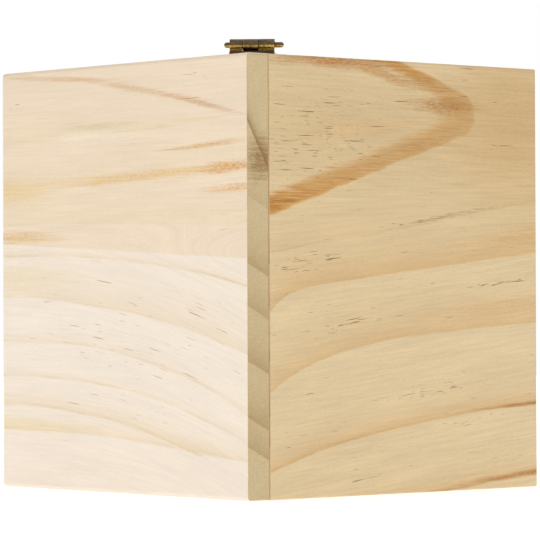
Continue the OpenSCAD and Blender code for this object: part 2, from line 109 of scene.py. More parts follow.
class Wiring:
    """Adds nodes to one tree and joins them up, so a formula reads like one."""

    def __init__(self, tree: bpy.types.NodeTree) -> None:
        """Keep the tree to write in."""
        self.tree = tree
        self.count = 0

    def node(self, kind: str, **settings: object) -> bpy.types.Node:
        """Add a node of a kind, with its settings.

        Args:
            kind: Blender's name for the node.
            settings: attributes to set on it.

        Returns:
            The new node.
        """
        made = self.tree.nodes.new(kind)
        made.location = (180 * (self.count % 24), -190 * (self.count // 24))
        self.count += 1
        for name, value in settings.items():
            setattr(made, name, value)
        return made

    def feed(self, socket: bpy.types.NodeSocket, value: object) -> None:
        """Join a socket to another, or set its own value."""
        if isinstance(value, bpy.types.NodeSocket):
            self.tree.links.new(value, socket)
        else:
            socket.default_value = value

    def math(self, operation: str, *values: Value, clamp: bool = False) -> bpy.types.NodeSocket:
        """Work out one sum.

        Args:
            operation: the Math node's operation.
            values: its inputs in order.
            clamp: whether the answer is held from 0 to 1.

        Returns:
            The answer.
        """
        made = self.node("ShaderNodeMath", operation=operation, use_clamp=clamp)
        for socket, value in zip(made.inputs, values):
            self.feed(socket, value)
        return made.outputs[0]

    def vector_sum(self, operation: str, *values: bpy.types.NodeSocket) -> bpy.types.Node:
        """Work out one sum of whole vectors."""
        made = self.node("ShaderNodeVectorMath", operation=operation)
        for socket, value in zip(made.inputs, values):
            self.feed(socket, value)
        return made

    def add(self, *values: Value) -> Value:
        """Add values up."""
        total = values[0]
        for value in values[1:]:
            total = self.math("ADD", total, value)
        return total

    def minus(self, first: Value, second: Value) -> bpy.types.NodeSocket:
        """Take the second from the first."""
        return self.math("SUBTRACT", first, second)

    def times(self, *values: Value) -> Value:
        """Multiply values together."""
        product = values[0]
        for value in values[1:]:
            product = self.math("MULTIPLY", product, value)
        return product

    def about(self, noise: Value, *sizes: Value) -> Value:
        """Centre a noise on nought and give it a size."""
        return self.times(self.minus(noise, 0.5), *sizes)

    def ramp(self, value: Value, low: Value, high: Value, start: float = 0.0,
             end: float = 1.0) -> bpy.types.NodeSocket:
        """Go smoothly from start to end as a value goes from low to high."""
        made = self.node("ShaderNodeMapRange", interpolation_type="SMOOTHSTEP")
        for socket, part in zip(made.inputs, (value, low, high, start, end)):
            self.feed(socket, part)
        return made.outputs[0]

    def split(self, vector: bpy.types.NodeSocket) -> tuple[bpy.types.NodeSocket, ...]:
        """Give a vector's three parts."""
        made = self.node("ShaderNodeSeparateXYZ")
        self.feed(made.inputs[0], vector)
        return tuple(made.outputs)

    def vector(self, x: Value, y: Value, z: Value = 0.0) -> bpy.types.NodeSocket:
        """Join three parts into a vector."""
        made = self.node("ShaderNodeCombineXYZ")
        for socket, part in zip(made.inputs, (x, y, z)):
            self.feed(socket, part)
        return made.outputs[0]

    def noise(self, vector: bpy.types.NodeSocket, scale: float, detail: float = 2.0,
              roughness: float = 0.5) -> bpy.types.NodeSocket:
        """Give soft noise from 0 to 1, around a half.

        Args:
            vector: where to read the noise.
            scale: features per unit.
            detail: how many finer layers.
            roughness: how strong the finer layers are.

        Returns:
            The noise.
        """
        made = self.node("ShaderNodeTexNoise")
        self.feed(made.inputs["Vector"], vector)
        made.inputs["Scale"].default_value = scale
        made.inputs["Detail"].default_value = detail
        made.inputs["Roughness"].default_value = roughness
        return made.outputs[0]

    def mix(self, share: Value, first: object, second: object,
            blend: str = "MIX") -> bpy.types.NodeSocket:
        """Mix two colours.

        Args:
            share: how much of the second, 0 to 1.
            first: a colour.
            second: a colour.
            blend: how they mix.

        Returns:
            The mixed colour.
        """
        made = self.node("ShaderNodeMix", data_type="RGBA", blend_type=blend)
        self.feed(made.inputs["Factor"], share)
        self.feed(made.inputs["A"], first)
        self.feed(made.inputs["B"], second)
        return made.outputs["Result"]

    def effect(self, group: bpy.types.NodeTree, **values: object) -> bpy.types.Node:
        """Place a shared effect.

        Args:
            group: the effect's node group.
            values: its inputs, with _ for each space in their names.

        Returns:
            The placed group.
        """
        made = self.node("ShaderNodeGroup", node_tree=group)
        for name, value in values.items():
            self.feed(made.inputs[name.replace("_", " ")], value)
        return made


def effect_group(name: str, inputs: dict[str, float | tuple], outputs: dict[str, str]
                 ) -> tuple[Wiring, dict[str, bpy.types.NodeSocket], bpy.types.Node]:
    """Start a shared effect.

    Args:
        name: the effect's name.
        inputs: each input's name and usual value; three numbers make a vector.
        outputs: each output's name, and Float or Color.

    Returns:
        The wiring to write it with, its inputs by name, and the node that its outputs end at.
    """
    tree = bpy.data.node_groups.new(name, "ShaderNodeTree")
    for label, value in inputs.items():
        kind = "NodeSocketVector" if isinstance(value, tuple) else "NodeSocketFloat"
        tree.interface.new_socket(label, in_out="INPUT", socket_type=kind).default_value = value
    for label, kind in outputs.items():
        tree.interface.new_socket(label, in_out="OUTPUT", socket_type="NodeSocket" + kind)
    wiring = Wiring(tree)
    source = wiring.node("NodeGroupInput")
    return wiring, {s.name: s for s in source.outputs if s.name}, wiring.node("NodeGroupOutput")


class Effects:
    """The effects that several materials share, each made the first time that it is asked for."""

    def __init__(self) -> None:
        """Start with none made."""
        self.made: dict[str, bpy.types.NodeTree] = {}

    def get(self, name: str) -> bpy.types.NodeTree:
        """Give an effect's group by its name."""
        if name not in self.made:
            self.made[name] = getattr(self, "make_" + name)()
        return self.made[name]

    def make_growth_line(self) -> bpy.types.NodeTree:
        """Make one year's growth: it darkens down to a curved line, and below that it is pale.

        Returns:
            The group. Its line stands at Start, climbs by Slope, bends up by Bend within
            Reach, and droops by Droop towards the far end.
        """
        w, given, out = effect_group(
            "growth_line",
            {"Along": 0.0, "Height": 0.0, "Start": 0.0, "Slope": 0.0, "Bend": 0.0, "Reach": 20.0,
             "Droop": 0.0, "Power": 2.4, "Fade": 6.0, "Wander": 0.8},
            {"Band": "Float", "Line": "Float"},
        )
        along, height = given["Along"], given["Height"]
        bend = w.math("SUBTRACT", 1.0, w.math(
            "EXPONENT", w.times(w.math("DIVIDE", along, given["Reach"]), -1.0)))
        share = w.math("DIVIDE", w.math("MAXIMUM", along, 0.0), 140.0)
        line = w.add(given["Start"], w.times(given["Slope"], along), w.times(given["Bend"], bend),
                     w.times(given["Droop"], w.math("POWER", share, given["Power"]), -1.0))
        place = w.vector(w.times(along, 0.02), w.times(given["Start"], 0.31))
        wander = w.about(w.noise(place, 0.8, 2.0), given["Wander"], 4.0)
        fray = w.noise(w.vector(w.times(along, 0.12), w.times(height, 1.6)), 1.0, 3.0, 0.65)
        above = w.add(w.minus(height, w.add(line, wander)), w.about(fray, 1.1))
        step = w.ramp(above, -0.5, 0.4)
        fall = w.math("EXPONENT", w.times(w.math("DIVIDE", w.math("MAXIMUM", above, 0.0),
                                                 given["Fade"]), -1.0))
        w.feed(out.inputs["Band"], w.times(step, fall))
        gaps = w.noise(w.vector(w.times(along, 0.05), given["Start"]), 1.0, 3.0)
        broken = w.ramp(gaps, 0.38, 0.62)
        w.feed(out.inputs["Line"], w.times(step, w.ramp(above, 0.2, 1.2, 1.0, 0.0), broken))
        return w.tree

    def make_streak(self) -> bpy.types.NodeTree:
        """Make a long soft patch of coloured wood, combed into fibres along the grain."""
        w, given, out = effect_group(
            "streak",
            {"Along": 0.0, "Height": 0.0, "Middle Along": 0.0, "Middle Height": 0.0,
             "Half Length": 20.0, "Half Height": 2.0, "Tilt": 0.0, "Combing": 0.6},
            {"Mask": "Float"},
        )
        off = w.minus(given["Along"], given["Middle Along"])
        rise = w.minus(w.minus(given["Height"], given["Middle Height"]),
                       w.times(off, given["Tilt"]))
        fibres = w.noise(w.vector(w.times(given["Along"], 0.045), w.times(given["Height"], 1.1)),
                         1.0, 4.0, 0.7)
        long_part = w.math("POWER", w.math("DIVIDE", off, given["Half Length"]), 2.0)
        high_part = w.math("POWER", w.math("DIVIDE", rise, given["Half Height"]), 2.0)
        reach = w.math("SQRT", w.add(long_part, high_part))
        ragged = w.add(reach, w.about(fibres, given["Combing"], 2.6))
        grain = w.noise(w.vector(w.times(given["Along"], 0.5), w.times(given["Height"], 1.8)),
                        1.0, 3.0, 0.7)
        patchy = w.minus(1.0, w.times(w.ramp(grain, 0.42, 0.6), given["Combing"], 0.55))
        w.feed(out.inputs["Mask"], w.times(w.ramp(ragged, 0.15, 1.2, 1.0, 0.0), patchy))
        return w.tree

    def make_resin_ducts(self) -> bpy.types.NodeTree:
        """Make short thin dark dashes along the grain."""
        w, given, out = effect_group(
            "resin_ducts",
            {"Along": 0.0, "Height": 0.0, "Seed": 0.0, "Length": 7.0, "Fineness": 2.4,
             "Amount": 0.5},
            {"Mask": "Float"},
        )
        along = w.math("DIVIDE", given["Along"], given["Length"])
        place = w.vector(along, w.times(given["Height"], given["Fineness"]), given["Seed"])
        fine = w.noise(place, 1.0, 1.0, 0.35)
        limit = w.minus(0.80, w.times(given["Amount"], 0.13))
        w.feed(out.inputs["Mask"], w.ramp(fine, limit, w.add(limit, 0.06)))
        return w.tree

    def make_wood_fibre(self) -> bpy.types.NodeTree:
        """Make the fine fibres of sanded wood: their shade, their relief and their shine."""
        w, given, out = effect_group(
            "wood_fibre", {"Along": 0.0, "Height": 0.0, "Depth": 0.0, "Stretch": 0.05},
            {"Shade": "Float", "Relief": "Float", "Roughness": "Float"},
        )
        along = w.times(given["Along"], given["Stretch"])
        fine = w.noise(w.vector(along, w.times(given["Height"], 2.6), given["Depth"]),
                       1.0, 4.0, 0.65)
        broad = w.noise(w.vector(w.times(along, 0.4), w.times(given["Height"], 0.13),
                                 w.times(given["Depth"], 0.13)), 1.0, 3.0, 0.5)
        pores = w.noise(w.vector(w.times(given["Along"], 1.1), w.times(given["Height"], 3.4),
                                 w.times(given["Depth"], 3.4)), 1.0, 2.0, 0.6)
        streaky = w.noise(w.vector(w.times(along, 0.7), w.times(given["Height"], 0.75),
                                   w.times(given["Depth"], 0.75)), 1.0, 4.0, 0.75)
        shade = w.add(w.about(fine, 0.7), w.about(broad, 0.5),
                      w.about(pores, 0.6), w.about(streaky, 0.9))
        w.feed(out.inputs["Shade"], shade)
        w.feed(out.inputs["Relief"], w.add(w.times(fine, 0.7), w.times(pores, 0.5)))
        w.feed(out.inputs["Roughness"], w.add(0.60, w.about(fine, 0.22)))
        return w.tree

    def make_edge_wear(self) -> bpy.types.NodeTree:
        """Make a mask of what lies near the outer edges of a box-shaped piece."""
        w, given, out = effect_group(
            "edge_wear",
            {"Place": (0.0, 0.0, 0.0), "Middle": (0.0, 0.0, 0.0), "Half Size": (70.0, 70.0, 76.0),
             "Width": 1.6},
            {"Mask": "Float"},
        )
        gap = w.vector_sum("SUBTRACT", given["Place"], given["Middle"])
        size = w.vector_sum("ABSOLUTE", gap.outputs[0])
        inside = w.vector_sum("SUBTRACT", given["Half Size"], size.outputs[0])
        x, y, z = w.split(inside.outputs[0])
        least = w.math("MINIMUM", w.math("MINIMUM", x, y), z)
        most = w.math("MAXIMUM", w.math("MAXIMUM", x, y), z)
        second = w.minus(w.minus(w.add(x, y, z), least), most)
        ragged = w.times(w.noise(given["Place"], 0.35, 3.0), given["Width"], 2.0)
        w.feed(out.inputs["Mask"], w.ramp(second, 0.0, ragged, 1.0, 0.0))
        return w.tree

    def make_weave(self) -> bpy.types.NodeTree:
        """Make crossing threads: their relief, and their shade, which is painted shade where the
        threads dip plus the yarn's own slubs.
        """
        w, given, out = effect_group(
            "weave", {"Across": 0.0, "Down": 0.0, "Threads": 2.4},
            {"Shade": "Float", "Relief": "Float"},
        )
        turn = math.pi
        across = w.math("SINE", w.times(given["Across"], given["Threads"], turn))
        down = w.math("SINE", w.times(given["Down"], given["Threads"], turn))
        over = w.math("ABSOLUTE", across)
        under = w.math("ABSOLUTE", down)
        check = w.ramp(w.times(across, down), -0.15, 0.15)
        relief = w.add(w.times(over, check), w.times(under, w.minus(1.0, check)))
        slub = w.noise(w.vector(w.times(given["Across"], 0.8), w.times(given["Down"], 0.12)),
                       1.0, 3.0)
        w.feed(out.inputs["Relief"], relief)
        # Painted shade in the dips between threads, from the relief, plus the yarn's own uneven
        # slubs.
        w.feed(out.inputs["Shade"], w.add(w.about(relief, 0.5), w.about(slub, 0.5)))
        return w.tree

    def make_fuzz(self) -> bpy.types.NodeTree:
        """Make matted fibres, as on felt and yarn: their relief, and their shade, which is the
        fibres' own mottling and, as it follows the relief, painted shade in the dips.
        """
        w, given, out = effect_group(
            "fuzz", {"Place": (0.0, 0.0, 0.0), "Scale": 1.0},
            {"Shade": "Float", "Relief": "Float"})
        scaled = w.node("ShaderNodeVectorMath", operation="SCALE")
        w.feed(scaled.inputs[0], given["Place"])
        w.feed(scaled.inputs["Scale"], given["Scale"])
        curls = w.node("ShaderNodeTexNoise")
        w.feed(curls.inputs["Vector"], scaled.outputs[0])
        curls.inputs["Scale"].default_value = 1.4
        curls.inputs["Detail"].default_value = 5.0
        curls.inputs["Roughness"].default_value = 0.75
        curls.inputs["Distortion"].default_value = 1.8
        # The shade is the relief itself: the felt's mottled tone, darker in the dips as painted
        # shade.
        w.feed(out.inputs["Shade"], w.minus(curls.outputs[0], 0.5))
        w.feed(out.inputs["Relief"], curls.outputs[0])
        return w.tree

    def make_drawn_metal(self) -> bpy.types.NodeTree:
        """Make the fine scratches and the cloudiness of worked metal."""
        w, given, out = effect_group(
            "drawn_metal", {"Place": (0.0, 0.0, 0.0), "Along": (1.0, 0.0, 0.0)},
            {"Scratches": "Float", "Clouds": "Float"})
        dot = w.vector_sum("DOT_PRODUCT", given["Place"], given["Along"])
        x, y, z = w.split(given["Place"])
        squeezed = w.vector(w.times(dot.outputs["Value"], 0.25), w.times(w.add(y, x), 6.0),
                            w.times(z, 6.0))
        w.feed(out.inputs["Scratches"], w.noise(squeezed, 1.0, 3.0, 0.7))
        w.feed(out.inputs["Clouds"], w.noise(given["Place"], 0.55, 4.0, 0.6))
        return w.tree


EFFECTS = Effects()


# ---- Finishes ----


@dataclass(frozen=True)
class Finish:
    """What every finish has: a name, and a surface that its own kind fills in."""

    name: str

    def build(self) -> bpy.types.Material:
        """Give the material, made once."""
        found = bpy.data.materials.get(self.name)
        if found:
            return found
        material = bpy.data.materials.new(self.name)
        material.use_nodes = True
        material.node_tree.nodes.clear()
        wiring = Wiring(material.node_tree)
        surface = wiring.node("ShaderNodeBsdfPrincipled")
        end = wiring.node("ShaderNodeOutputMaterial")
        wiring.feed(end.inputs["Surface"], surface.outputs[0])
        self.dress(wiring, surface)
        return material

    def dress(self, w: Wiring, surface: bpy.types.Node) -> None:
        """Set the surface's sockets. Each kind of finish has its own."""
        raise NotImplementedError

    @staticmethod
    def place(w: Wiring) -> bpy.types.NodeSocket:
        """Give the place on the piece, in millimetres."""
        source = w.node("ShaderNodeTexCoord")
        scaled = w.node("ShaderNodeVectorMath", operation="SCALE")
        w.feed(scaled.inputs[0], source.outputs["Object"])
        scaled.inputs["Scale"].default_value = 1 / MM
        return scaled.outputs[0]

    @staticmethod
    def facing(w: Wiring) -> bpy.types.NodeSocket:
        """Give the piece's own normal."""
        return w.node("ShaderNodeTexCoord").outputs["Normal"]

    @staticmethod
    def relief(w: Wiring, surface: bpy.types.Node, height: Value, depth: float) -> None:
        """Add relief to a surface.

        Args:
            w: the wiring.
            surface: the shader.
            height: the relief, 0 to 1.
            depth: how deep 1 is, in metres.
        """
        bump = w.node("ShaderNodeBump")
        bump.inputs["Distance"].default_value = depth
        bump.inputs["Strength"].default_value = 0.8
        w.feed(bump.inputs["Height"], height)
        w.feed(surface.inputs["Normal"], bump.outputs[0])


@dataclass(frozen=True)
class GrowthLine:
    """One year's growth line on a board's face, in millimetres."""

    start: float
    slope: float = 0.0
    bend: float = 0.0
    reach: float = 20.0
    droop: float = 0.0
    power: float = 2.4
    fade: float = 6.0
    strength: float = 0.5
    edge: float = 0.35
    wander: float = 0.8


@dataclass(frozen=True)
class Streak:
    """One long patch of coloured wood on a board's face, in millimetres."""

    along: float
    height: float
    half_length: float
    half_height: float
    tilt: float = 0.0
    strength: float = 0.6
    combing: float = 0.6
    colour: tuple[float, float, float, float] = tint(196, 146, 88)


@dataclass(frozen=True)
class DuctPatch:
    """One patch of a board's face where resin ducts show, in millimetres."""

    along: float
    height: float
    half_length: float
    half_height: float
    tilt: float = 0.0
    amount: float = 0.8


@dataclass(frozen=True)
class Plank:
    """One of the planks that a board is glued up from."""

    top: float
    tilt: float
    pale: tuple[float, float, float, float]
    lines: tuple[GrowthLine, ...] = ()


class Side(Enum):
    """Which way a board's face looks, and where its lengths start."""

    BACK = "back"
    LEFT = "left"
    FRONT = "front"
    RIGHT = "right"
    LEVEL = "level"


@dataclass(frozen=True)
class Pine(Finish):
    """Bare sanded pine, with its own figure for each board."""

    side: Side = Side.LEVEL
    planks: tuple[Plank, ...] = ()
    streaks: tuple[Streak, ...] = ()
    patches: tuple[DuctPatch, ...] = ()
    band: tuple[float, float, float, float] = tint(226, 196, 150)
    line: tuple[float, float, float, float] = tint(200, 158, 104)
    duct: tuple[float, float, float, float] = tint(128, 84, 44)
    end: tuple[float, float, float, float] = tint(214, 190, 148)
    duct_amount: float = 0.5
    duct_depth: float = 0.6
    duct_length: float = 9.0
    contrast: float = 0.2
    flame: bool = False
    flame_colours: tuple[tuple[float, float, float, float], ...] = (
        tint(207, 148, 62), tint(166, 102, 34))
    box_half: float = 70.0
    box_height: float = 152.0
    climb: float = 0.0
    sag: float = 0.0
    flow_top: float = 90.0

    def lengths(self, w: Wiring) -> tuple[Value, Value, Value, Value]:
        """Give the place along the grain, up the face, into the board, and how much the end shows.

        Args:
            w: the wiring.

        Returns:
            Along, height and depth in millimetres, and a mask of the end grain.
        """
        x, y, z = w.split(self.place(w))
        normal_x, normal_y, _ = w.split(self.facing(w))
        half = self.box_half
        if self.side is Side.BACK:
            along, depth, end = w.minus(half, x), w.minus(half, y), normal_x
        elif self.side is Side.LEFT:
            along, depth, end = w.minus(half, y), w.add(x, half), normal_y
        elif self.side is Side.FRONT:
            along, depth, end = w.add(x, half), w.add(y, half), normal_x
        elif self.side is Side.RIGHT:
            along, depth, end = w.add(y, half), w.minus(half, x), normal_y
        else:
            along, depth, end = w.add(x, half), z, normal_x
            return along, w.add(w.add(y, half), w.times(z, 0.4)), depth, w.ramp(
                w.math("ABSOLUTE", end), 0.6, 0.8)
        height = w.minus(z, w.times(depth, 0.55))
        return along, height, depth, w.ramp(w.math("ABSOLUTE", end), 0.6, 0.8)

    def flow(self, w: Wiring, along: Value, height: Value) -> Value:
        """Give the height that fibres keep to, where they climb or sag along the board."""
        low_down = w.ramp(height, self.flow_top - 8.0, self.flow_top + 8.0, 1.0, 0.0)
        share = w.math("POWER", w.math("DIVIDE", w.math("MAXIMUM", along, 0.0), 140.0), 2.4)
        bend = w.minus(w.times(share, self.sag), w.times(along, self.climb))
        return w.add(height, w.times(bend, low_down))

    def dress(self, w: Wiring, surface: bpy.types.Node) -> None:
        """Build the board's figure up from its planks, growth lines, streaks, ducts and fibres."""
        along, height, depth, end = self.lengths(w)
        flow = self.flow(w, along, height)
        colour: object = self.planks[0].pale
        for index, plank in enumerate(self.planks):
            grown = self.grow(w, plank, along, height)
            if index:
                seam = w.add(plank.top, w.times(along, plank.tilt))
                colour = w.mix(w.ramp(w.minus(height, seam), -0.25, 0.25, 1.0, 0.0), colour, grown)
            else:
                colour = grown
        if self.flame:
            colour = self.add_flame(w, colour, along, height)
        for streak in self.streaks:
            mask = w.effect(EFFECTS.get("streak"), Along=along, Height=height,
                            Middle_Along=streak.along, Middle_Height=streak.height,
                            Half_Length=streak.half_length, Half_Height=streak.half_height,
                            Tilt=streak.tilt, Combing=streak.combing)
            colour = w.mix(w.times(mask.outputs[0], streak.strength), colour, streak.colour)
        dashes = self.resin_dashes(w, along, height, flow)
        colour = w.mix(w.times(dashes, self.duct_depth), colour, self.duct)
        colour = w.mix(end, colour, self.end_grain(w, depth, height))
        fibre = w.effect(EFFECTS.get("wood_fibre"), Along=along, Height=flow, Depth=depth)
        shade = w.add(1.0, w.times(fibre.outputs["Shade"], self.contrast))
        shaded = w.node("ShaderNodeVectorMath", operation="SCALE")
        w.feed(shaded.inputs[0], colour)
        w.feed(shaded.inputs["Scale"], shade)
        wear = w.effect(EFFECTS.get("edge_wear"), Place=self.place(w),
                        Middle=(0.0, 0.0, self.box_height / 2),
                        Half_Size=(self.box_half, self.box_half, self.box_height / 2), Width=0.7)
        worn = w.mix(w.times(wear.outputs[0], 0.15), shaded.outputs[0], tint(196, 162, 116),
                     "MULTIPLY")
        w.feed(surface.inputs["Base Color"], worn)
        w.feed(surface.inputs["Roughness"], fibre.outputs["Roughness"])
        surface.inputs["Specular IOR Level"].default_value = 0.28
        self.relief(w, surface, w.minus(fibre.outputs["Relief"], w.times(dashes, 0.15)), 0.00006)

    def resin_dashes(self, w: Wiring, along: Value, height: Value,
                     flow: Value) -> bpy.types.NodeSocket:
        """Give the mask of the resin ducts, which crowd in the board's patches.

        Args:
            w: the wiring.
            along: millimetres along the grain.
            height: millimetres up the face.
            flow: the height that the fibres keep to.

        Returns:
            The mask.
        """
        amount: Value = self.duct_amount
        for patch in self.patches:
            mask = w.effect(EFFECTS.get("streak"), Along=along, Height=height,
                            Middle_Along=patch.along, Middle_Height=patch.height,
                            Half_Length=patch.half_length, Half_Height=patch.half_height,
                            Tilt=patch.tilt, Combing=0.0)
            amount = w.math("MAXIMUM", amount, w.times(mask.outputs[0], patch.amount))
        seed = float(len(self.name))
        long_ones = w.effect(EFFECTS.get("resin_ducts"), Along=along, Height=flow,
                             Length=self.duct_length, Seed=seed, Amount=amount)
        short_ones = w.effect(EFFECTS.get("resin_ducts"), Along=along, Height=flow,
                              Length=self.duct_length * 0.45, Fineness=3.0, Seed=seed + 9.0,
                              Amount=w.minus(amount, 0.15))
        return w.math("MAXIMUM", long_ones.outputs[0], short_ones.outputs[0])

    def grow(self, w: Wiring, plank: Plank, along: Value, height: Value) -> object:
        """Give one plank's colour, with its growth lines.

        Args:
            w: the wiring.
            plank: the plank.
            along: millimetres along the grain.
            height: millimetres up the face.

        Returns:
            The colour.
        """
        colour: object = plank.pale
        for line in plank.lines:
            year = w.effect(EFFECTS.get("growth_line"), Along=along, Height=height,
                            Start=line.start, Slope=line.slope, Bend=line.bend, Reach=line.reach,
                            Droop=line.droop, Power=line.power, Fade=line.fade, Wander=line.wander)
            colour = w.mix(w.times(year.outputs["Band"], line.strength), colour, self.band)
            colour = w.mix(w.times(year.outputs["Line"], line.edge), colour, self.line)
        return colour

    def add_flame(self, w: Wiring, colour: object, along: Value, height: Value) -> object:
        """Lay a pointed brown flame over the top of the face.

        Args:
            w: the wiring.
            colour: the face's colour so far.
            along: millimetres along the grain.
            height: millimetres up the face.

        Returns:
            The colour with the flame.
        """
        tip, apex, middle, slope = 108.5, 126.0, 134.5, 0.325
        place = w.vector(w.times(along, 0.05), w.times(height, 0.12))
        wander = w.about(w.noise(place, 1.0, 3.0), 3.0)
        comb = w.about(w.noise(w.vector(w.times(along, 0.05), w.times(height, 0.9)),
                               1.0, 4.0, 0.75), 9.0)
        off = w.minus(height, middle)
        arms = w.minus(w.times(w.minus(apex, along), slope), w.math("ABSOLUTE", off))
        blunt = w.math("MINIMUM", w.times(off, off, 0.07), 7.0)
        cap = w.minus(w.times(w.minus(tip, along), 0.8), blunt)
        inside = w.add(w.math("MINIMUM", arms, cap), wander)
        ragged = w.add(inside, w.times(comb, 0.16))
        upper = w.ramp(off, -1.0, 3.0)
        thick = w.add(8.0, w.times(upper, -2.5), w.times(w.ramp(along, 76.0, 100.0), 3.0))
        outer = w.ramp(ragged, -0.5, 0.7)
        inner = w.ramp(w.add(inside, comb), w.times(thick, 0.6), w.times(thick, 1.15), 1.0, 0.0)
        fibres = w.noise(w.vector(w.times(along, 0.08), w.times(height, 1.7)), 1.0, 4.0, 0.7)
        body = w.times(outer, inner, w.ramp(fibres, 0.25, 0.6, 0.7, 1.0))
        deep = w.times(w.ramp(ragged, 0.0, 1.8), w.ramp(fibres, 0.38, 0.6),
                       w.ramp(w.add(inside, comb), 3.0, 9.0, 1.0, 0.0),
                       w.add(0.45, w.times(w.ramp(along, 60.0, 100.0), 0.3),
                             w.times(w.ramp(along, 14.0, 34.0, 1.0, 0.0), 0.35)))
        colour = w.mix(w.times(body, 0.95), colour, self.flame_colours[0])
        return w.mix(deep, colour, self.flame_colours[1])

    def stain_end(self, w: Wiring, colour: object, depth: Value, height: Value) -> object:
        """Lay a dark heart line, a stain beside it and a warm rim over a sawn end.

        Args:
            w: the wiring.
            colour: the end's colour so far.
            depth: millimetres into the board.
            height: millimetres up the face.

        Returns:
            The colour with the line, the stain and the rim.
        """
        level = w.add(height, w.times(depth, 0.55))
        heart = w.effect(EFFECTS.get("growth_line"), Along=depth, Height=level, Start=130.0,
                         Slope=-1.75, Fade=3.4, Wander=0.3)
        edge_only = w.ramp(height, 106.0, 110.0)
        colour = w.mix(w.times(heart.outputs["Band"], edge_only, 0.9), colour, tint(146, 112, 60))
        stain = w.effect(EFFECTS.get("streak"), Along=depth, Height=level, Middle_Along=7.0,
                         Middle_Height=116.0, Half_Length=9.0, Half_Height=9.0, Combing=0.8)
        colour = w.mix(w.times(stain.outputs[0], 0.85), colour, tint(144, 106, 56))
        rim = w.times(w.ramp(depth, 0.15, 0.75, 1.0, 0.0),
                      w.noise(w.vector(depth, level), 0.2, 2.0))
        colour = w.mix(w.times(rim, 1.3), colour, tint(208, 160, 106))
        return colour

    def end_grain(self, w: Wiring, depth: Value, height: Value) -> bpy.types.NodeSocket:
        """Give the colour of the board's sawn end.

        Args:
            w: the wiring.
            depth: millimetres into the board.
            height: millimetres up the face.

        Returns:
            The colour.
        """
        level = w.add(height, w.times(depth, 0.55))
        colour: object = self.end
        for start, strength in ((81.0, 0.8), (66.5, 0.7), (47.9, 0.85), (28.6, 0.85), (18.5, 0.75),
                                (104.0, 0.35)):
            year = w.effect(EFFECTS.get("growth_line"), Along=depth, Height=level, Start=start,
                            Slope=-0.5, Fade=7.0, Wander=0.15)
            colour = w.mix(w.times(year.outputs["Band"], strength), colour, tint(180, 152, 106))
        if self.side is Side.BACK:
            colour = self.stain_end(w, colour, depth, height)
        saw = w.noise(w.vector(w.times(depth, 0.35), w.times(level, 2.2)), 1.0, 3.0, 0.7)
        pores = w.noise(w.vector(w.times(depth, 1.8), w.times(level, 1.8)), 1.0, 2.0, 0.7)
        comb = w.noise(w.vector(w.times(depth, 2.4), w.times(level, 0.3)), 1.0, 3.0, 0.7)
        grit = w.add(1.0, w.about(saw, 0.34), w.about(pores, 0.3), w.about(comb, 0.25))
        made = w.node("ShaderNodeVectorMath", operation="SCALE")
        w.feed(made.inputs[0], colour)
        w.feed(made.inputs["Scale"], grit)
        return made.outputs[0]


@dataclass(frozen=True)
class Plywood(Finish):
    """Birch plywood, with its layers on the edges and a cut veneer on the faces."""

    pale: tuple[float, float, float, float] = tint(226, 200, 158)
    dark: tuple[float, float, float, float] = tint(186, 146, 96)
    layer: float = 1.0

    def dress(self, w: Wiring, surface: bpy.types.Node) -> None:
        """Set the layers, the veneer's fibres and their relief."""
        x, y, z = w.split(self.place(w))
        _, _, up = w.split(self.facing(w))
        fibre = w.effect(EFFECTS.get("wood_fibre"), Along=x, Height=y, Depth=z)
        layers = w.ramp(w.math("SINE", w.times(z, math.pi / self.layer)), -0.2, 0.2)
        on_edge = w.ramp(w.math("ABSOLUTE", up), 0.6, 0.8, 1.0, 0.0)
        veneer = w.ramp(fibre.outputs["Shade"], -0.3, 0.35, 0.55, 0.0)
        share = w.math("MAXIMUM", veneer, w.times(layers, on_edge, 0.8))
        w.feed(surface.inputs["Base Color"], w.mix(share, self.pale, self.dark))
        w.feed(surface.inputs["Roughness"], fibre.outputs["Roughness"])
        self.relief(w, surface, fibre.outputs["Relief"], 0.00005)


@dataclass(frozen=True)
class TurnedWood(Finish):
    """Turned or sliced wood, bare or under paint."""

    colour: tuple[float, float, float, float] = tint(214, 178, 128)
    dark: tuple[float, float, float, float] = tint(178, 136, 86)
    paint: float = 0.0
    shine: float = 0.5

    def dress(self, w: Wiring, surface: bpy.types.Node) -> None:
        """Set rings and fibres, fainter under paint, and the paint's own brush marks."""
        place = self.place(w)
        x, y, z = w.split(place)
        fibre = w.effect(EFFECTS.get("wood_fibre"), Along=z, Height=x, Depth=y, Stretch=0.12)
        share = w.ramp(fibre.outputs["Shade"], -0.25, 0.35, 0.0, 1.0 - 0.75 * self.paint)
        colour = w.mix(share, self.colour, self.dark)
        blotch = w.noise(place, 0.28, 3.0)
        colour = w.mix(w.ramp(blotch, 0.45, 0.75, 0.0, 0.25), colour, self.dark)
        w.feed(surface.inputs["Base Color"], colour)
        rough = w.add(0.62 - 0.3 * self.shine, w.about(blotch, 0.25))
        w.feed(surface.inputs["Roughness"], rough)
        surface.inputs["Coat Weight"].default_value = 0.35 * self.paint
        surface.inputs["Coat Roughness"].default_value = 0.18
        self.relief(w, surface, fibre.outputs["Relief"], 0.00004)


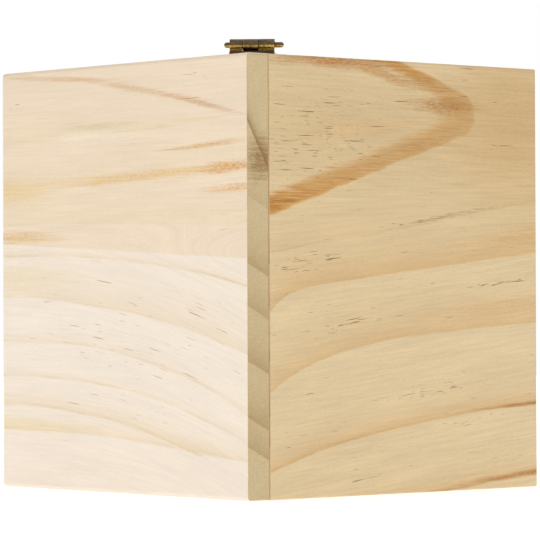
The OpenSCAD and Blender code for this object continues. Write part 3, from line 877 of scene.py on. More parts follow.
@dataclass(frozen=True)
class FacePaint(TurnedWood):
    """Painted wood with a plain smile, two brows and pink cheeks on its -Y side."""

    middle_z: float = 107.0

    def dress(self, w: Wiring, surface: bpy.types.Node) -> None:
        """Set the paint, then lay the features over its colour."""
        super().dress(w, surface)
        skin = surface.inputs["Base Color"].links[0].from_socket
        x, y, z = w.split(self.place(w))
        side = w.math("ABSOLUTE", x)
        rise = w.minus(z, self.middle_z)
        in_front = w.ramp(y, -8.0, -4.0, 1.0, 0.0)
        brush = w.about(w.noise(self.place(w), 1.2, 3.0), 0.5)
        cheek = w.math("SQRT", w.add(w.math("POWER", w.minus(side, 9.6), 2.0),
                                     w.math("POWER", w.add(rise, 4.2), 2.0)))
        colour = w.mix(w.times(w.ramp(cheek, 0.8, 4.4, 0.62, 0.0), in_front), skin,
                       tint(214, 84, 72))
        smile_gap = self.arc_gap(w, x, w.minus(rise, -0.5), 8.2)
        smile = w.times(w.ramp(w.add(smile_gap, brush), 0.35, 0.75, 1.0, 0.0),
                        w.ramp(rise, -5.6, -5.0, 1.0, 0.0), in_front)
        colour = w.mix(smile, colour, tint(150, 20, 24))
        brow_gap = self.arc_gap(w, w.minus(side, 6.2), w.minus(rise, 2.4), 5.6)
        brow = w.times(w.ramp(w.add(brow_gap, brush), 0.2, 0.5, 1.0, 0.0),
                       w.ramp(rise, 6.3, 6.7), in_front)
        w.feed(surface.inputs["Base Color"], w.mix(brow, colour, tint(70, 40, 24)))

    @staticmethod
    def arc_gap(w: Wiring, across: Value, up: Value, radius: float) -> bpy.types.NodeSocket:
        """Give how far a place is from a circle's line."""
        reach = w.math("SQRT", w.add(w.times(across, across), w.times(up, up)))
        return w.math("ABSOLUTE", w.minus(reach, radius))


@dataclass(frozen=True)
class Metal(Finish):
    """Plain worked metal, with scratches, clouds and a share of tarnish."""

    colour: tuple[float, float, float, float] = tint(196, 160, 92)
    tarnish: tuple[float, float, float, float] = tint(110, 80, 40)
    amount: float = 0.3
    roughness: float = 0.32
    along: tuple[float, float, float] = (1.0, 0.0, 0.0)

    def dress(self, w: Wiring, surface: bpy.types.Node) -> None:
        """Set the metal, its scratches and its tarnish."""
        worked = w.effect(EFFECTS.get("drawn_metal"), Place=self.place(w), Along=self.along)
        clouds = worked.outputs["Clouds"]
        dull = w.ramp(clouds, 0.62 - self.amount * 0.5, 0.78 - self.amount * 0.3)
        w.feed(surface.inputs["Base Color"], w.mix(w.times(dull, 0.8), self.colour, self.tarnish))
        surface.inputs["Metallic"].default_value = 1.0
        rough = w.add(self.roughness, w.about(worked.outputs["Scratches"], 0.3),
                      w.times(dull, 0.15))
        w.feed(surface.inputs["Roughness"], rough)
        self.relief(w, surface, worked.outputs["Scratches"], 0.00003)


@dataclass(frozen=True)
class AgedBrassWithPaintedLight(Finish):
    """Old brass: tarnish and painted shade dark brown above the axis, a painted highlight in gold
    just below it, painted shade on the olive underside, a painted shadow at the foot, and small
    dents.
    """

    # Height of the barrel's axis, in millimetres: the painted shade above it gives way to the
    # painted highlight below.
    level: float = 155.8

    def dress(self, w: Wiring, surface: bpy.types.Node) -> None:
        """Set tarnish with painted shade above the axis, a painted highlight below it, painted
        shade lower down and a painted shadow at the foot, by height and by blotches.
        """
        place = self.place(w)
        worked = w.effect(EFFECTS.get("drawn_metal"), Place=place, Along=(0.7, 0.7, 0.0))
        _, _, z = w.split(place)
        above = w.minus(z, self.level)
        blotch = w.noise(place, 0.75, 4.0, 0.65)
        ragged = w.add(above, w.about(blotch, 1.1))
        # Painted shade on the barrel's upper half, together with its tarnish: darker by height,
        # ragged by blotches.
        dark = w.ramp(ragged, -0.4, -0.05)
        # Painted shade on the barrel's underside, olive below the highlight.
        dull = w.ramp(ragged, -1.1, -0.8, 1.0, 0.0)
        # Painted shadow along the foot, where the brass meets the wood.
        foot = w.ramp(w.add(above, w.about(blotch, 0.8)), -2.3, -1.7, 0.9, 0.0)
        # Painted highlight: the band between the shade above and the shade below is left bright
        # gold.
        gold = w.mix(w.ramp(blotch, 0.45, 0.7), tint(214, 178, 96), tint(170, 128, 58))
        gold = w.mix(dull, gold, tint(132, 100, 36))
        # The dark brown above is tarnish and painted shade together.
        patina_and_painted_shade = w.mix(w.ramp(blotch, 0.4, 0.62), tint(60, 44, 26), tint(96, 76, 40))
        colour = w.mix(w.times(dark, 0.95), gold, patina_and_painted_shade)
        colour = w.mix(foot, colour, tint(44, 28, 12))
        w.feed(surface.inputs["Base Color"], colour)
        # Less metallic under the painted shade and the painted shadow.
        w.feed(surface.inputs["Metallic"], w.ramp(w.math("MAXIMUM", dark, foot), 0.0, 1.0, 1.0,
                                                  0.25))
        rough = w.add(0.30, w.times(dark, 0.18), w.about(worked.outputs["Scratches"], 0.3))
        w.feed(surface.inputs["Roughness"], rough)
        self.relief(w, surface, w.add(worked.outputs["Scratches"], w.times(blotch, 2.5)), 0.00012)


@dataclass(frozen=True)
class Cloth(Finish):
    """Plain woven cotton."""

    colour: tuple[float, float, float, float] = tint(176, 40, 36)
    shade: tuple[float, float, float, float] = tint(112, 18, 18)

    def dress(self, w: Wiring, surface: bpy.types.Node) -> None:
        """Set threads that run round the piece and down it."""
        x, y, z = w.split(self.place(w))
        round_it = w.times(w.math("ARCTAN2", y, x), 22.0)
        threads = w.effect(EFFECTS.get("weave"), Across=round_it, Down=w.add(z, w.times(x, 0.2)))
        # Darker where the threads dip, as painted shade, and at the yarn's slubs.
        share = w.ramp(threads.outputs["Shade"], -0.4, 0.35, 1.0, 0.0)
        w.feed(surface.inputs["Base Color"], w.mix(share, self.colour, self.shade))
        surface.inputs["Roughness"].default_value = 0.85
        surface.inputs["Sheen Weight"].default_value = 0.35
        surface.inputs["Sheen Roughness"].default_value = 0.5
        self.relief(w, surface, threads.outputs["Relief"], 0.00012)


@dataclass(frozen=True)
class Felt(Finish):
    """Felt or yarn."""

    colour: tuple[float, float, float, float] = tint(40, 74, 140)
    shade: tuple[float, float, float, float] = tint(20, 36, 80)
    scale: float = 1.0

    def dress(self, w: Wiring, surface: bpy.types.Node) -> None:
        """Set matted fibres."""
        fibres = w.effect(EFFECTS.get("fuzz"), Place=self.place(w), Scale=self.scale)
        # Darker in the fibres' dips, as painted shade, and in their own mottling.
        share = w.ramp(fibres.outputs["Shade"], -0.2, 0.22, 1.0, 0.0)
        w.feed(surface.inputs["Base Color"], w.mix(share, self.colour, self.shade))
        surface.inputs["Roughness"].default_value = 0.92
        surface.inputs["Sheen Weight"].default_value = 0.5
        surface.inputs["Sheen Roughness"].default_value = 0.6
        self.relief(w, surface, fibres.outputs["Relief"], 0.00025)


@dataclass(frozen=True)
class FloorPaint(Finish):
    """The plain pale floor."""

    def dress(self, w: Wiring, surface: bpy.types.Node) -> None:
        """Set a nearly white, matt floor."""
        surface.inputs["Base Color"].default_value = (0.8, 0.8, 0.8, 1.0)
        surface.inputs["Roughness"].default_value = 0.9
        surface.inputs["Specular IOR Level"].default_value = 0.1
        surface.inputs["Emission Color"].default_value = (1.0, 1.0, 1.0, 1.0)
        surface.inputs["Emission Strength"].default_value = 0.5


CREAM = tint(240, 221, 195)
PALE_CREAM = tint(246, 233, 217)


def far_line(start: float, droop: float, power: float, fade: float, strength: float,
             edge: float = 0.35) -> GrowthLine:
    """Give a growth line that is level at the far end and droops towards the near corner."""
    return GrowthLine(start, droop=droop, power=power, fade=fade, strength=strength, edge=edge)


BACK_PINE = Pine(
    "pine_back_board", side=Side.BACK,
    planks=(
        Plank(152.0, 0.0, CREAM, ()),
        Plank(136.8, -0.045, tint(241, 222, 196), (
            far_line(126.0, -6.0, 2.0, 5.0, 0.25, 0.0),
            far_line(109.0, -5.0, 2.0, 6.0, 0.25, 0.05),
            far_line(96.0, 3.0, 2.0, 8.0, 0.2, 0.0),
        )),
        Plank(89.3, -0.05, PALE_CREAM, (
            far_line(84.6, 12.0, 2.6, 2.0, 0.28, 0.3),
            far_line(69.3, 20.0, 2.2, 8.0, 0.34, 0.12),
            far_line(53.4, 24.5, 2.6, 2.6, 0.24, 0.16),
            far_line(40.7, 22.0, 2.6, 1.8, 0.24, 0.2),
            far_line(30.0, 24.0, 2.3, 3.0, 0.42, 0.22),
            far_line(21.5, 9.0, 2.0, 3.2, 0.4, 0.1),
        )),
        Plank(20.6, -0.052, tint(246, 232, 216), ()),
    ),
    streaks=(
        Streak(36.0, 148.4, 36.0, 1.3, -0.07, 0.6, 0.7, tint(214, 172, 122)),
        Streak(82.0, 142.4, 40.0, 1.5, -0.155, 0.6, 0.7, tint(214, 172, 122)),
        Streak(116.0, 136.0, 22.0, 1.2, -0.2, 0.7, 0.7, tint(206, 160, 108)),
        Streak(57.0, 130.5, 22.0, 1.7, 0.0, 0.5, 1.0, tint(202, 188, 146)),
        Streak(57.0, 127.0, 34.0, 2.6, -0.01, 0.5, 1.0, tint(250, 238, 216)),
        Streak(118.0, 121.6, 26.0, 1.0, 0.05, 0.75, 0.9, tint(218, 162, 84)),
        Streak(130.0, 113.6, 18.0, 2.2, 0.045, 0.9, 1.0, tint(212, 148, 70)),
        Streak(132.0, 106.5, 16.0, 1.6, 0.04, 0.7, 1.0, tint(220, 166, 92)),
        Streak(84.0, 112.0, 56.0, 2.2, 0.035, 0.75, 1.0, tint(230, 190, 122)),
        Streak(6.0, 108.0, 30.0, 5.5, 0.0, 0.65, 0.9, tint(232, 202, 136)),
        Streak(8.0, 91.5, 32.0, 2.4, -0.01, 0.8, 0.9, tint(226, 184, 112)),
        Streak(8.0, 77.0, 50.0, 5.0, -0.02, 0.4, 0.8, tint(232, 212, 160)),
        Streak(14.0, 23.0, 46.0, 3.2, -0.02, 0.5, 0.8, tint(236, 214, 160)),
    ),
    patches=(
        DuctPatch(75.0, 50.0, 110.0, 44.0, -0.15, 0.68),
        DuctPatch(120.0, 62.0, 30.0, 20.0, -0.35, 0.85),
        DuctPatch(118.0, 146.0, 24.0, 7.0, 0.0, 0.75),
        DuctPatch(8.0, 140.0, 10.0, 3.0, 0.0, 0.9),
        DuctPatch(30.0, 11.0, 30.0, 4.0, 0.0, 0.6),
    ),
    band=tint(230, 202, 148), line=tint(208, 166, 104), duct=tint(186, 132, 66),
    end=tint(210, 189, 148), duct_amount=0.12, duct_depth=0.95, duct_length=17.0,
    contrast=0.22, sag=23.0,
)

LEFT_PINE = Pine(
    "pine_left_board", side=Side.LEFT,
    planks=(Plank(152.0, 0.0, tint(227, 204, 163), (
        GrowthLine(82.5, slope=0.155, fade=10.0, strength=0.2, edge=0.2),
        GrowthLine(38.0, slope=0.112, bend=32.0, reach=7.0, fade=10.0, strength=0.68, edge=0.12,
                   wander=0.4),
        GrowthLine(28.0, slope=0.05, bend=25.0, reach=27.0, fade=8.0, strength=0.62, edge=0.12,
                   wander=0.4),
        GrowthLine(5.0, slope=0.05, bend=20.0, reach=52.0, fade=4.0, strength=0.75, edge=0.35,
                   wander=0.4),
        GrowthLine(-11.0, slope=0.115, fade=2.6, strength=0.9, edge=0.6),
    )),),
    streaks=(
        # The first two patches are broad: they darken the upper face, most towards its far top
        # corner.
        Streak(45.0, 128.0, 95.0, 30.0, 0.0, 0.6, 0.3, tint(212, 182, 134)),
        Streak(128.0, 134.0, 50.0, 40.0, 0.0, 0.85, 0.3, tint(208, 174, 122)),
        Streak(93.0, 137.0, 19.0, 3.4, -0.02, 0.85, 1.0, tint(174, 118, 54)),
        Streak(52.0, 128.5, 30.0, 5.0, 0.05, 0.25, 1.0, tint(206, 158, 96)),
        Streak(40.0, 150.8, 34.0, 2.8, 0.0, 0.95, 0.7, tint(184, 128, 66)),
        Streak(64.0, 147.0, 16.0, 2.4, -0.25, 0.75, 0.9, tint(196, 142, 78)),
        Streak(142.0, 92.0, 44.0, 5.0, 0.12, 0.5, 1.0, tint(210, 162, 100)),
        Streak(132.0, 66.0, 60.0, 5.0, 0.06, 0.4, 1.0, tint(212, 168, 110)),
        Streak(142.0, 30.6, 36.0, 0.9, 0.06, 0.9, 0.6, tint(176, 118, 54)),
        Streak(142.0, 5.4, 42.0, 1.4, 0.07, 0.9, 0.6, tint(180, 122, 58)),
    ),
    patches=(
        DuctPatch(34.0, 126.0, 48.0, 30.0, 0.0, 1.12),
        DuctPatch(94.0, 98.0, 64.0, 1.6, 0.149, 1.6),
        DuctPatch(124.0, 123.5, 22.0, 1.0, -0.08, 1.5),
        DuctPatch(27.0, 81.0, 26.0, 7.0, 0.15, 1.3),
        DuctPatch(45.0, 59.5, 30.0, 3.5, 0.15, 1.3),
        DuctPatch(120.0, 74.0, 30.0, 1.4, 0.1, 1.7),
        DuctPatch(85.0, 35.5, 40.0, 3.0, 0.12, 1.3),
        DuctPatch(100.0, 24.0, 44.0, 2.4, 0.12, 1.1),
        DuctPatch(50.0, 5.0, 18.0, 2.0, 0.15, 1.3),
    ),
    band=tint(214, 174, 116), line=tint(190, 142, 84), duct=tint(122, 82, 38),
    end=tint(214, 190, 148), duct_amount=0.35, duct_depth=0.9, duct_length=11.0, contrast=0.36,
    climb=0.11, flow_top=100.0, flame=True,
)

PLAIN_PINE = Pine(
    "pine_plain_board", side=Side.FRONT,
    planks=(
        Plank(152.0, 0.0, tint(238, 218, 186), (
            GrowthLine(128.0, slope=-0.05, bend=10.0, reach=30.0, fade=5.0, strength=0.5),
            GrowthLine(104.0, slope=-0.04, bend=8.0, reach=40.0, fade=7.0, strength=0.55),
        )),
        Plank(92.0, 0.01, tint(240, 222, 192), (
            GrowthLine(74.0, slope=0.05, bend=6.0, reach=30.0, fade=6.0, strength=0.5),
            GrowthLine(52.0, slope=0.06, bend=9.0, reach=44.0, fade=8.0, strength=0.6),
            GrowthLine(30.0, slope=0.05, bend=9.0, reach=50.0, fade=5.0, strength=0.6),
            GrowthLine(10.0, slope=0.04, bend=6.0, reach=60.0, fade=5.0, strength=0.5),
        )),
    ),
    streaks=(Streak(100.0, 116.0, 30.0, 2.0, 0.03, 0.5, 0.8),),
    band=tint(224, 192, 142), line=tint(196, 152, 98), duct=tint(150, 104, 56),
)

RIGHT_PINE = Pine(
    "pine_right_board", side=Side.RIGHT,
    planks=(Plank(152.0, 0.0, tint(232, 208, 168), (
        GrowthLine(132.0, slope=-0.08, bend=6.0, reach=30.0, fade=7.0, strength=0.5),
        GrowthLine(112.0, slope=-0.06, bend=8.0, reach=30.0, fade=7.0, strength=0.6),
        GrowthLine(88.0, slope=-0.03, bend=8.0, reach=44.0, fade=6.0, strength=0.6),
        GrowthLine(62.0, slope=0.02, bend=8.0, reach=44.0, fade=8.0, strength=0.6),
        GrowthLine(36.0, slope=0.04, bend=8.0, reach=50.0, fade=5.0, strength=0.65),
        GrowthLine(12.0, slope=0.04, bend=6.0, reach=60.0, fade=5.0, strength=0.6),
    )),),
    band=tint(216, 178, 124), line=tint(188, 142, 88), duct=tint(134, 90, 46),
)

LEVEL_PINE = Pine(
    "pine_level_board", side=Side.LEVEL,
    planks=(
        Plank(152.0, 0.0, tint(238, 218, 184), (
            GrowthLine(124.0, slope=0.03, bend=8.0, reach=30.0, fade=6.0, strength=0.5),
            GrowthLine(102.0, slope=0.02, bend=9.0, reach=34.0, fade=6.0, strength=0.55),
        )),
        Plank(82.0, 0.0, tint(234, 212, 176), (
            GrowthLine(60.0, slope=-0.03, bend=8.0, reach=40.0, fade=6.0, strength=0.55),
            GrowthLine(38.0, slope=-0.03, bend=8.0, reach=40.0, fade=6.0, strength=0.55),
            GrowthLine(16.0, slope=-0.02, bend=6.0, reach=40.0, fade=6.0, strength=0.55),
        )),
    ),
    streaks=(Streak(40.0, 92.0, 30.0, 2.5, 0.02, 0.5, 0.8),),
    band=tint(222, 190, 140), line=tint(194, 150, 96), duct=tint(148, 102, 54),
    end=tint(206, 178, 134),
)

BIRCH_PLY = Plywood("birch_plywood")
BEECH = TurnedWood("turned_beech")
RED_PAINT = TurnedWood("red_enamel", colour=tint(178, 24, 22), dark=tint(130, 12, 12), paint=1.0,
                       shine=0.9)
SKIN_PAINT = TurnedWood("skin_paint", colour=tint(232, 190, 156), dark=tint(216, 164, 128),
                        paint=0.9, shine=0.55)
FACE_PAINT = FacePaint("face_paint", colour=tint(232, 190, 156), dark=tint(216, 164, 128),
                       paint=0.9, shine=0.55)
BLACK_PAINT = TurnedWood("black_enamel", colour=tint(18, 16, 16), dark=tint(8, 8, 8), paint=1.0,
                         shine=1.0)
# Hinge brass, with painted shade, a painted highlight and a painted shadow.
OLD_BRASS_WITH_PAINTED_LIGHT = AgedBrassWithPaintedLight("old_brass")
BRASS = Metal("satin_brass")
STEEL = Metal("plain_steel", colour=tint(176, 178, 182), tarnish=tint(104, 98, 92), amount=0.15,
              roughness=0.3)
IRON = Metal("cast_iron", colour=tint(74, 74, 78), tarnish=tint(44, 40, 38), amount=0.5,
             roughness=0.55)
RED_CLOTH = Cloth("red_cotton")
BLUE_FELT = Felt("hat_felt")
YELLOW_FELT = Felt("ruff_felt", colour=tint(240, 190, 62), shade=tint(200, 142, 30))


# ---- Making meshes ----


def new_piece(name: str, build: Callable[[bmesh.types.BMesh], None], finish: Finish,
              body: str, smooth: bool = True) -> bpy.types.Object:
    """Make a piece from mesh code, dress it and let it ride on a body.

    Args:
        name: the piece's name.
        build: fills a bmesh, in metres in the frame.
        finish: its finish.
        body: the body that it rides on.
        smooth: whether it is shaded smooth.

    Returns:
        The piece.
    """
    mesh = bpy.data.meshes.new(name)
    work = bmesh.new()
    build(work)
    bmesh.ops.recalc_face_normals(work, faces=work.faces)
    work.to_mesh(mesh)
    work.free()
    piece = bpy.data.objects.new(name, mesh)
    bpy.context.scene.collection.objects.link(piece)
    mesh.materials.append(finish.build())
    for polygon in mesh.polygons:
        polygon.use_smooth = smooth
    if body:
        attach(piece, body)
    LOG.info("%s: %d faces", name, len(mesh.polygons))
    return piece


def join_faces(piece: bpy.types.Object) -> None:
    """Join a hard piece's faces along their edges, so that the edges can be rounded."""
    weld = piece.modifiers.new("joined_faces", "WELD")
    weld.merge_threshold = 1e-6
    flat = piece.modifiers.new("whole_faces", "DECIMATE")
    flat.decimate_type = "DISSOLVE"
    flat.angle_limit = math.radians(0.5)


def ease_edges(piece: bpy.types.Object, width: float, steps: int = 2) -> None:
    """Round a hard piece's edges a little with a modifier.

    Args:
        piece: the piece.
        width: the rounding's width, in metres.
        steps: how many faces round each edge.
    """
    join_faces(piece)
    bevel = piece.modifiers.new("eased_edges", "BEVEL")
    bevel.width = width
    bevel.segments = steps
    bevel.limit_method = "ANGLE"
    bevel.angle_limit = math.radians(35)
    bevel.harden_normals = True


# ---- The stage ----


@dataclass
class Stage:
    """The floor, the lights and the camera."""

    near_corner: Vector
    corner_gap: float = 1.1587
    azimuth: float = 229.08
    lift: float = 0.0666
    aside: float = 0.0077
    nod: float = 0.0102
    lean: float = 0.0037
    lens: float = 228.0
    glow: float = 0.4

    def make_camera(self) -> None:
        """Stand the camera level with the box's lower half, looking at its near corner."""
        turn = math.radians(self.azimuth)
        level = Vector((-math.sin(turn), math.cos(turn), 0.0))
        ahead = (level * math.cos(self.nod) + Vector((0, 0, math.sin(self.nod)))).normalized()
        right = ahead.cross(Vector((0, 0, 1))).normalized()
        up = right.cross(ahead)
        leaning_right = right * math.cos(self.lean) - up * math.sin(self.lean)
        leaning_up = up * math.cos(self.lean) + right * math.sin(self.lean)
        camera = bpy.data.objects.new("camera", bpy.data.cameras.new("camera"))
        bpy.context.scene.collection.objects.link(camera)
        bpy.context.scene.camera = camera
        spot = self.near_corner - level * self.corner_gap + right * self.aside
        spot.z = self.lift
        axes = Matrix((leaning_right, leaning_up, -ahead)).transposed().to_4x4()
        camera.matrix_world = Matrix.Translation(spot) @ axes
        camera.data.lens = self.lens
        camera.data.sensor_width = 36.0
        camera.data.clip_start = 0.01

    def make_light(self, name: str, spot: Sequence[float], size: float, power: float,
                   warmth: Colour = (1.0, 1.0, 1.0)) -> None:
        """Hang one soft light that looks at the middle of the box.

        Args:
            name: the light's name.
            spot: where it hangs, in metres.
            size: its width, in metres.
            power: its power, in watts.
            warmth: its colour.
        """
        lamp = bpy.data.lights.new(name, "AREA")
        lamp.size = size
        lamp.energy = power
        lamp.color = warmth
        holder = bpy.data.objects.new(name, lamp)
        bpy.context.scene.collection.objects.link(holder)
        holder.location = spot
        aim = Vector((0, 0, 0.08)) - Vector(spot)
        holder.rotation_euler = aim.to_track_quat("-Z", "Y").to_euler()

    def build(self) -> None:
        """Make the whole stage."""
        self.make_camera()
        floor = new_piece("floor", lambda work: bmesh.ops.create_grid(
            work, x_segments=1, y_segments=1, size=1.45), FloorPaint("floor_paint"), "")
        floor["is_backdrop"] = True
        self.make_light("back_light", (-0.25, 1.6, 0.7), 1.3, 7.8, (1.0, 0.99, 0.975))
        self.make_light("left_light", (-1.7, 0.1, 0.8), 1.2, 6.0, (1.0, 0.98, 0.95))
        self.make_light("top_light", (0.2, -0.4, 1.7), 1.4, 8.0)
        self.make_light("front_light", (1.2, -1.5, 0.8), 1.2, 8.0)
        self.make_surround()
        bpy.context.scene.view_settings.view_transform = "Standard"

    def make_surround(self) -> None:
        """Surround the stage with white that is dimmer as light than it looks behind the box."""
        world = bpy.data.worlds.new("surround")
        bpy.context.scene.world = world
        world.use_nodes = True
        w = Wiring(world.node_tree)
        sky = world.node_tree.nodes["Background"]
        sky.inputs["Color"].default_value = (1.0, 1.0, 1.0, 1.0)
        seen = w.node("ShaderNodeLightPath").outputs["Is Camera Ray"]
        w.feed(sky.inputs["Strength"], w.add(self.glow, w.times(seen, 1.0 - self.glow)))


# ---- The box ----


@dataclass
class PineBox:
    """The walls, boards and blocks."""

    nodes: dict[str, bpy.types.Object]
    edge: float = 0.0015
    near_corner_share: float = 0.3
    far_corner_share: float = 1.0
    level_share: float = 0.55
    finishes: dict[str, Finish] = field(default_factory=lambda: {
        "back_wall": BACK_PINE, "left_wall": LEFT_PINE, "front_wall": PLAIN_PINE,
        "right_wall": RIGHT_PINE, "base_board": LEVEL_PINE, "deck_board": BIRCH_PLY,
        "corner_blocks": RIGHT_PINE, "lid_stops": LEVEL_PINE, "lid_board": LEVEL_PINE,
    })

    def build(self) -> None:
        """Dress each board and ease its outer edges."""
        for name, finish in self.finishes.items():
            dress_node(self.nodes[name], finish)
        for name in ("lid_board", "lid_stops"):
            ease_edges(self.nodes[name], self.edge / 2)
        low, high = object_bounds()
        for name in ("back_wall", "left_wall", "front_wall", "right_wall"):
            self.ease_outside(self.nodes[name])
        LOG.info("box spans %s to %s", tuple(low), tuple(high))

    def ease_outside(self, wall: bpy.types.Object) -> None:
        """Round only the edges of a wall that lie on the outside of the box."""
        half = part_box("back_wall")[1].y
        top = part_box("back_wall")[1].z
        tiny = 1e-5
        weights = wall.data.attributes.new("bevel_weight_edge", "FLOAT", "EDGE")
        for edge in wall.data.edges:
            ends = [wall.data.vertices[i].co for i in edge.vertices]
            on_side = all(abs(abs(e.x) - half) < tiny for e in ends)
            on_back = all(abs(abs(e.y) - half) < tiny for e in ends)
            on_level = all(min(abs(e.z - top), abs(e.z)) < tiny for e in ends)
            if on_side and on_back:
                sharp = all(e.x < 0 < e.y for e in ends)
                weights.data[edge.index].value = (
                    self.near_corner_share if sharp else self.far_corner_share)
            elif on_level and (on_side or on_back):
                weights.data[edge.index].value = self.level_share
        join_faces(wall)
        bevel = wall.modifiers.new("eased_edges", "BEVEL")
        bevel.width = self.edge
        bevel.segments = 3
        bevel.limit_method = "WEIGHT"
        bevel.harden_normals = True


# ---- Wire, cloth and yarn ----


def skin(work: bmesh.types.BMesh, rings: Sequence[Sequence[Vector]], caps: bool = False) -> None:
    """Skin a row of closed rings.

    Args:
        work: the mesh in the making.
        rings: the rings' points, the same number in each.
        caps: whether both ends are closed.
    """
    made = [[work.verts.new(point) for point in ring] for ring in rings]
    for lower, upper in zip(made, made[1:]):
        for index, corner in enumerate(lower):
            following = (index + 1) % len(lower)
            work.faces.new((corner, lower[following], upper[following], upper[index]))
    if caps:
        work.faces.new(made[0][::-1])
        work.faces.new(made[-1])


def round_ring(radius: float, height: float, sides: int,
               shift: Callable[[float], tuple[float, float]] | None = None) -> list[Vector]:
    """Give the points of one level ring about the Z axis.

    Args:
        radius: its radius.
        height: its height.
        sides: how many points.
        shift: what to add to the radius and the height at each angle.

    Returns:
        The points.
    """
    points = []
    for index in range(sides):
        angle = math.tau * index / sides
        out, up = shift(angle) if shift else (0.0, 0.0)
        reach = radius + out
        points.append(Vector((reach * math.cos(angle), reach * math.sin(angle), height + up)))
    return points


def sweep(work: bmesh.types.BMesh, path: Sequence[Vector], radii: Sequence[float], sides: int = 10,
          flatness: float = 1.0) -> None:
    """Sweep a round bar along a path.

    Args:
        work: the mesh in the making.
        path: the path's points.
        radii: the bar's radius at each point.
        sides: how many sides.
        flatness: the bar's height as a share of its width.
    """
    rings = []
    for index, point in enumerate(path):
        ahead = (path[min(index + 1, len(path) - 1)] - path[max(index - 1, 0)]).normalized()
        up = Vector((0, 0, 1)) if abs(ahead.z) < 0.95 else Vector((0, 1, 0))
        side = ahead.cross(up).normalized()
        top = side.cross(ahead)
        rings.append([
            point + radii[index] * (math.cos(a) * side + flatness * math.sin(a) * top)
            for a in (math.tau * corner / sides for corner in range(sides))
        ])
    skin(work, rings, caps=True)


@dataclass
class SpringAndSleeve:
    """The coil spring and the pleated cloth tube over it."""

    turns: int = 8
    wire: float = 0.65 * MM
    flatness: float = 0.4
    pleats: int = 12
    fold_in: float = 18.3 * MM
    fold_out: float = 23.75 * MM
    rows: int = 8
    sides: int = 96

    def build(self) -> None:
        """Make the spring and the sleeve, each reaching from the deck to the jack."""
        self.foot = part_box("pop_spring")[0].z
        self.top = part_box("platform_disc")[0].z
        spring = new_piece("spring_wire", self.coil, STEEL, "")
        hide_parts("pop_spring")
        sleeve = new_piece("pleated_sleeve", self.pleat, RED_CLOTH, "")
        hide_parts("cloth_sleeve")
        for piece in (spring, sleeve):
            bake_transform(piece)

    def coil(self, work: bmesh.types.BMesh) -> None:
        """Wind the spring, closed flat at both ends."""
        low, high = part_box("pop_spring")
        wide, narrow = high.x - self.wire, high.x - self.wire - 3.0 * MM
        steps = self.turns * 48
        path = []
        for step in range(steps + 1):
            share = step / steps
            angle = math.tau * self.turns * share
            radius = wide + (narrow - wide) * share
            height = low.z + self.wire + (high.z - low.z - 2 * self.wire) * share
            path.append(Vector((radius * math.cos(angle), radius * math.sin(angle), height)))
        sweep(work, path, [self.wire] * len(path), 10, self.flatness)

    def pleat(self, work: bmesh.types.BMesh) -> None:
        """Fold the sleeve like a bellows, then wrap its top round the platform's rim."""
        middle = 0.5 * (self.fold_in + self.fold_out)
        depth = 0.5 * (self.fold_out - self.fold_in)
        low, high = self.foot + 0.35 * MM, self.top - 0.5 * MM
        chance = random.Random(11)
        phases = [chance.uniform(0, math.tau) for _ in range(self.pleats + 2)]
        total = self.pleats * self.rows
        rings = []
        for row in range(total + 1):
            turn = row / self.rows
            wave = math.asin(0.985 * math.cos(math.tau * turn)) / (math.pi / 2)
            phase = phases[int(turn)]
            height = low + (high - low) * row / total

            def shift(angle: float, wave: float = wave, phase: float = phase
                      ) -> tuple[float, float]:
                """Make the folds slightly uneven."""
                sway = math.sin(3 * angle + phase) + 0.6 * math.sin(7 * angle + 2 * phase)
                return (-0.16 * MM * (1 + wave) * (1 + sway * 0.6), 0.06 * MM * sway)

            rings.append(round_ring(middle + depth * wave, height, self.sides, shift))
        for out, up in ((22.7, 0.2), (22.4, 1.4), (22.3, 2.6), (22.45, 3.3), (22.2, 3.72)):
            rings.append(round_ring(out * MM, self.top + up * MM, self.sides,
                                    lambda angle: (0.14 * MM * math.sin(24 * angle), 0.0)))
        skin(work, rings)


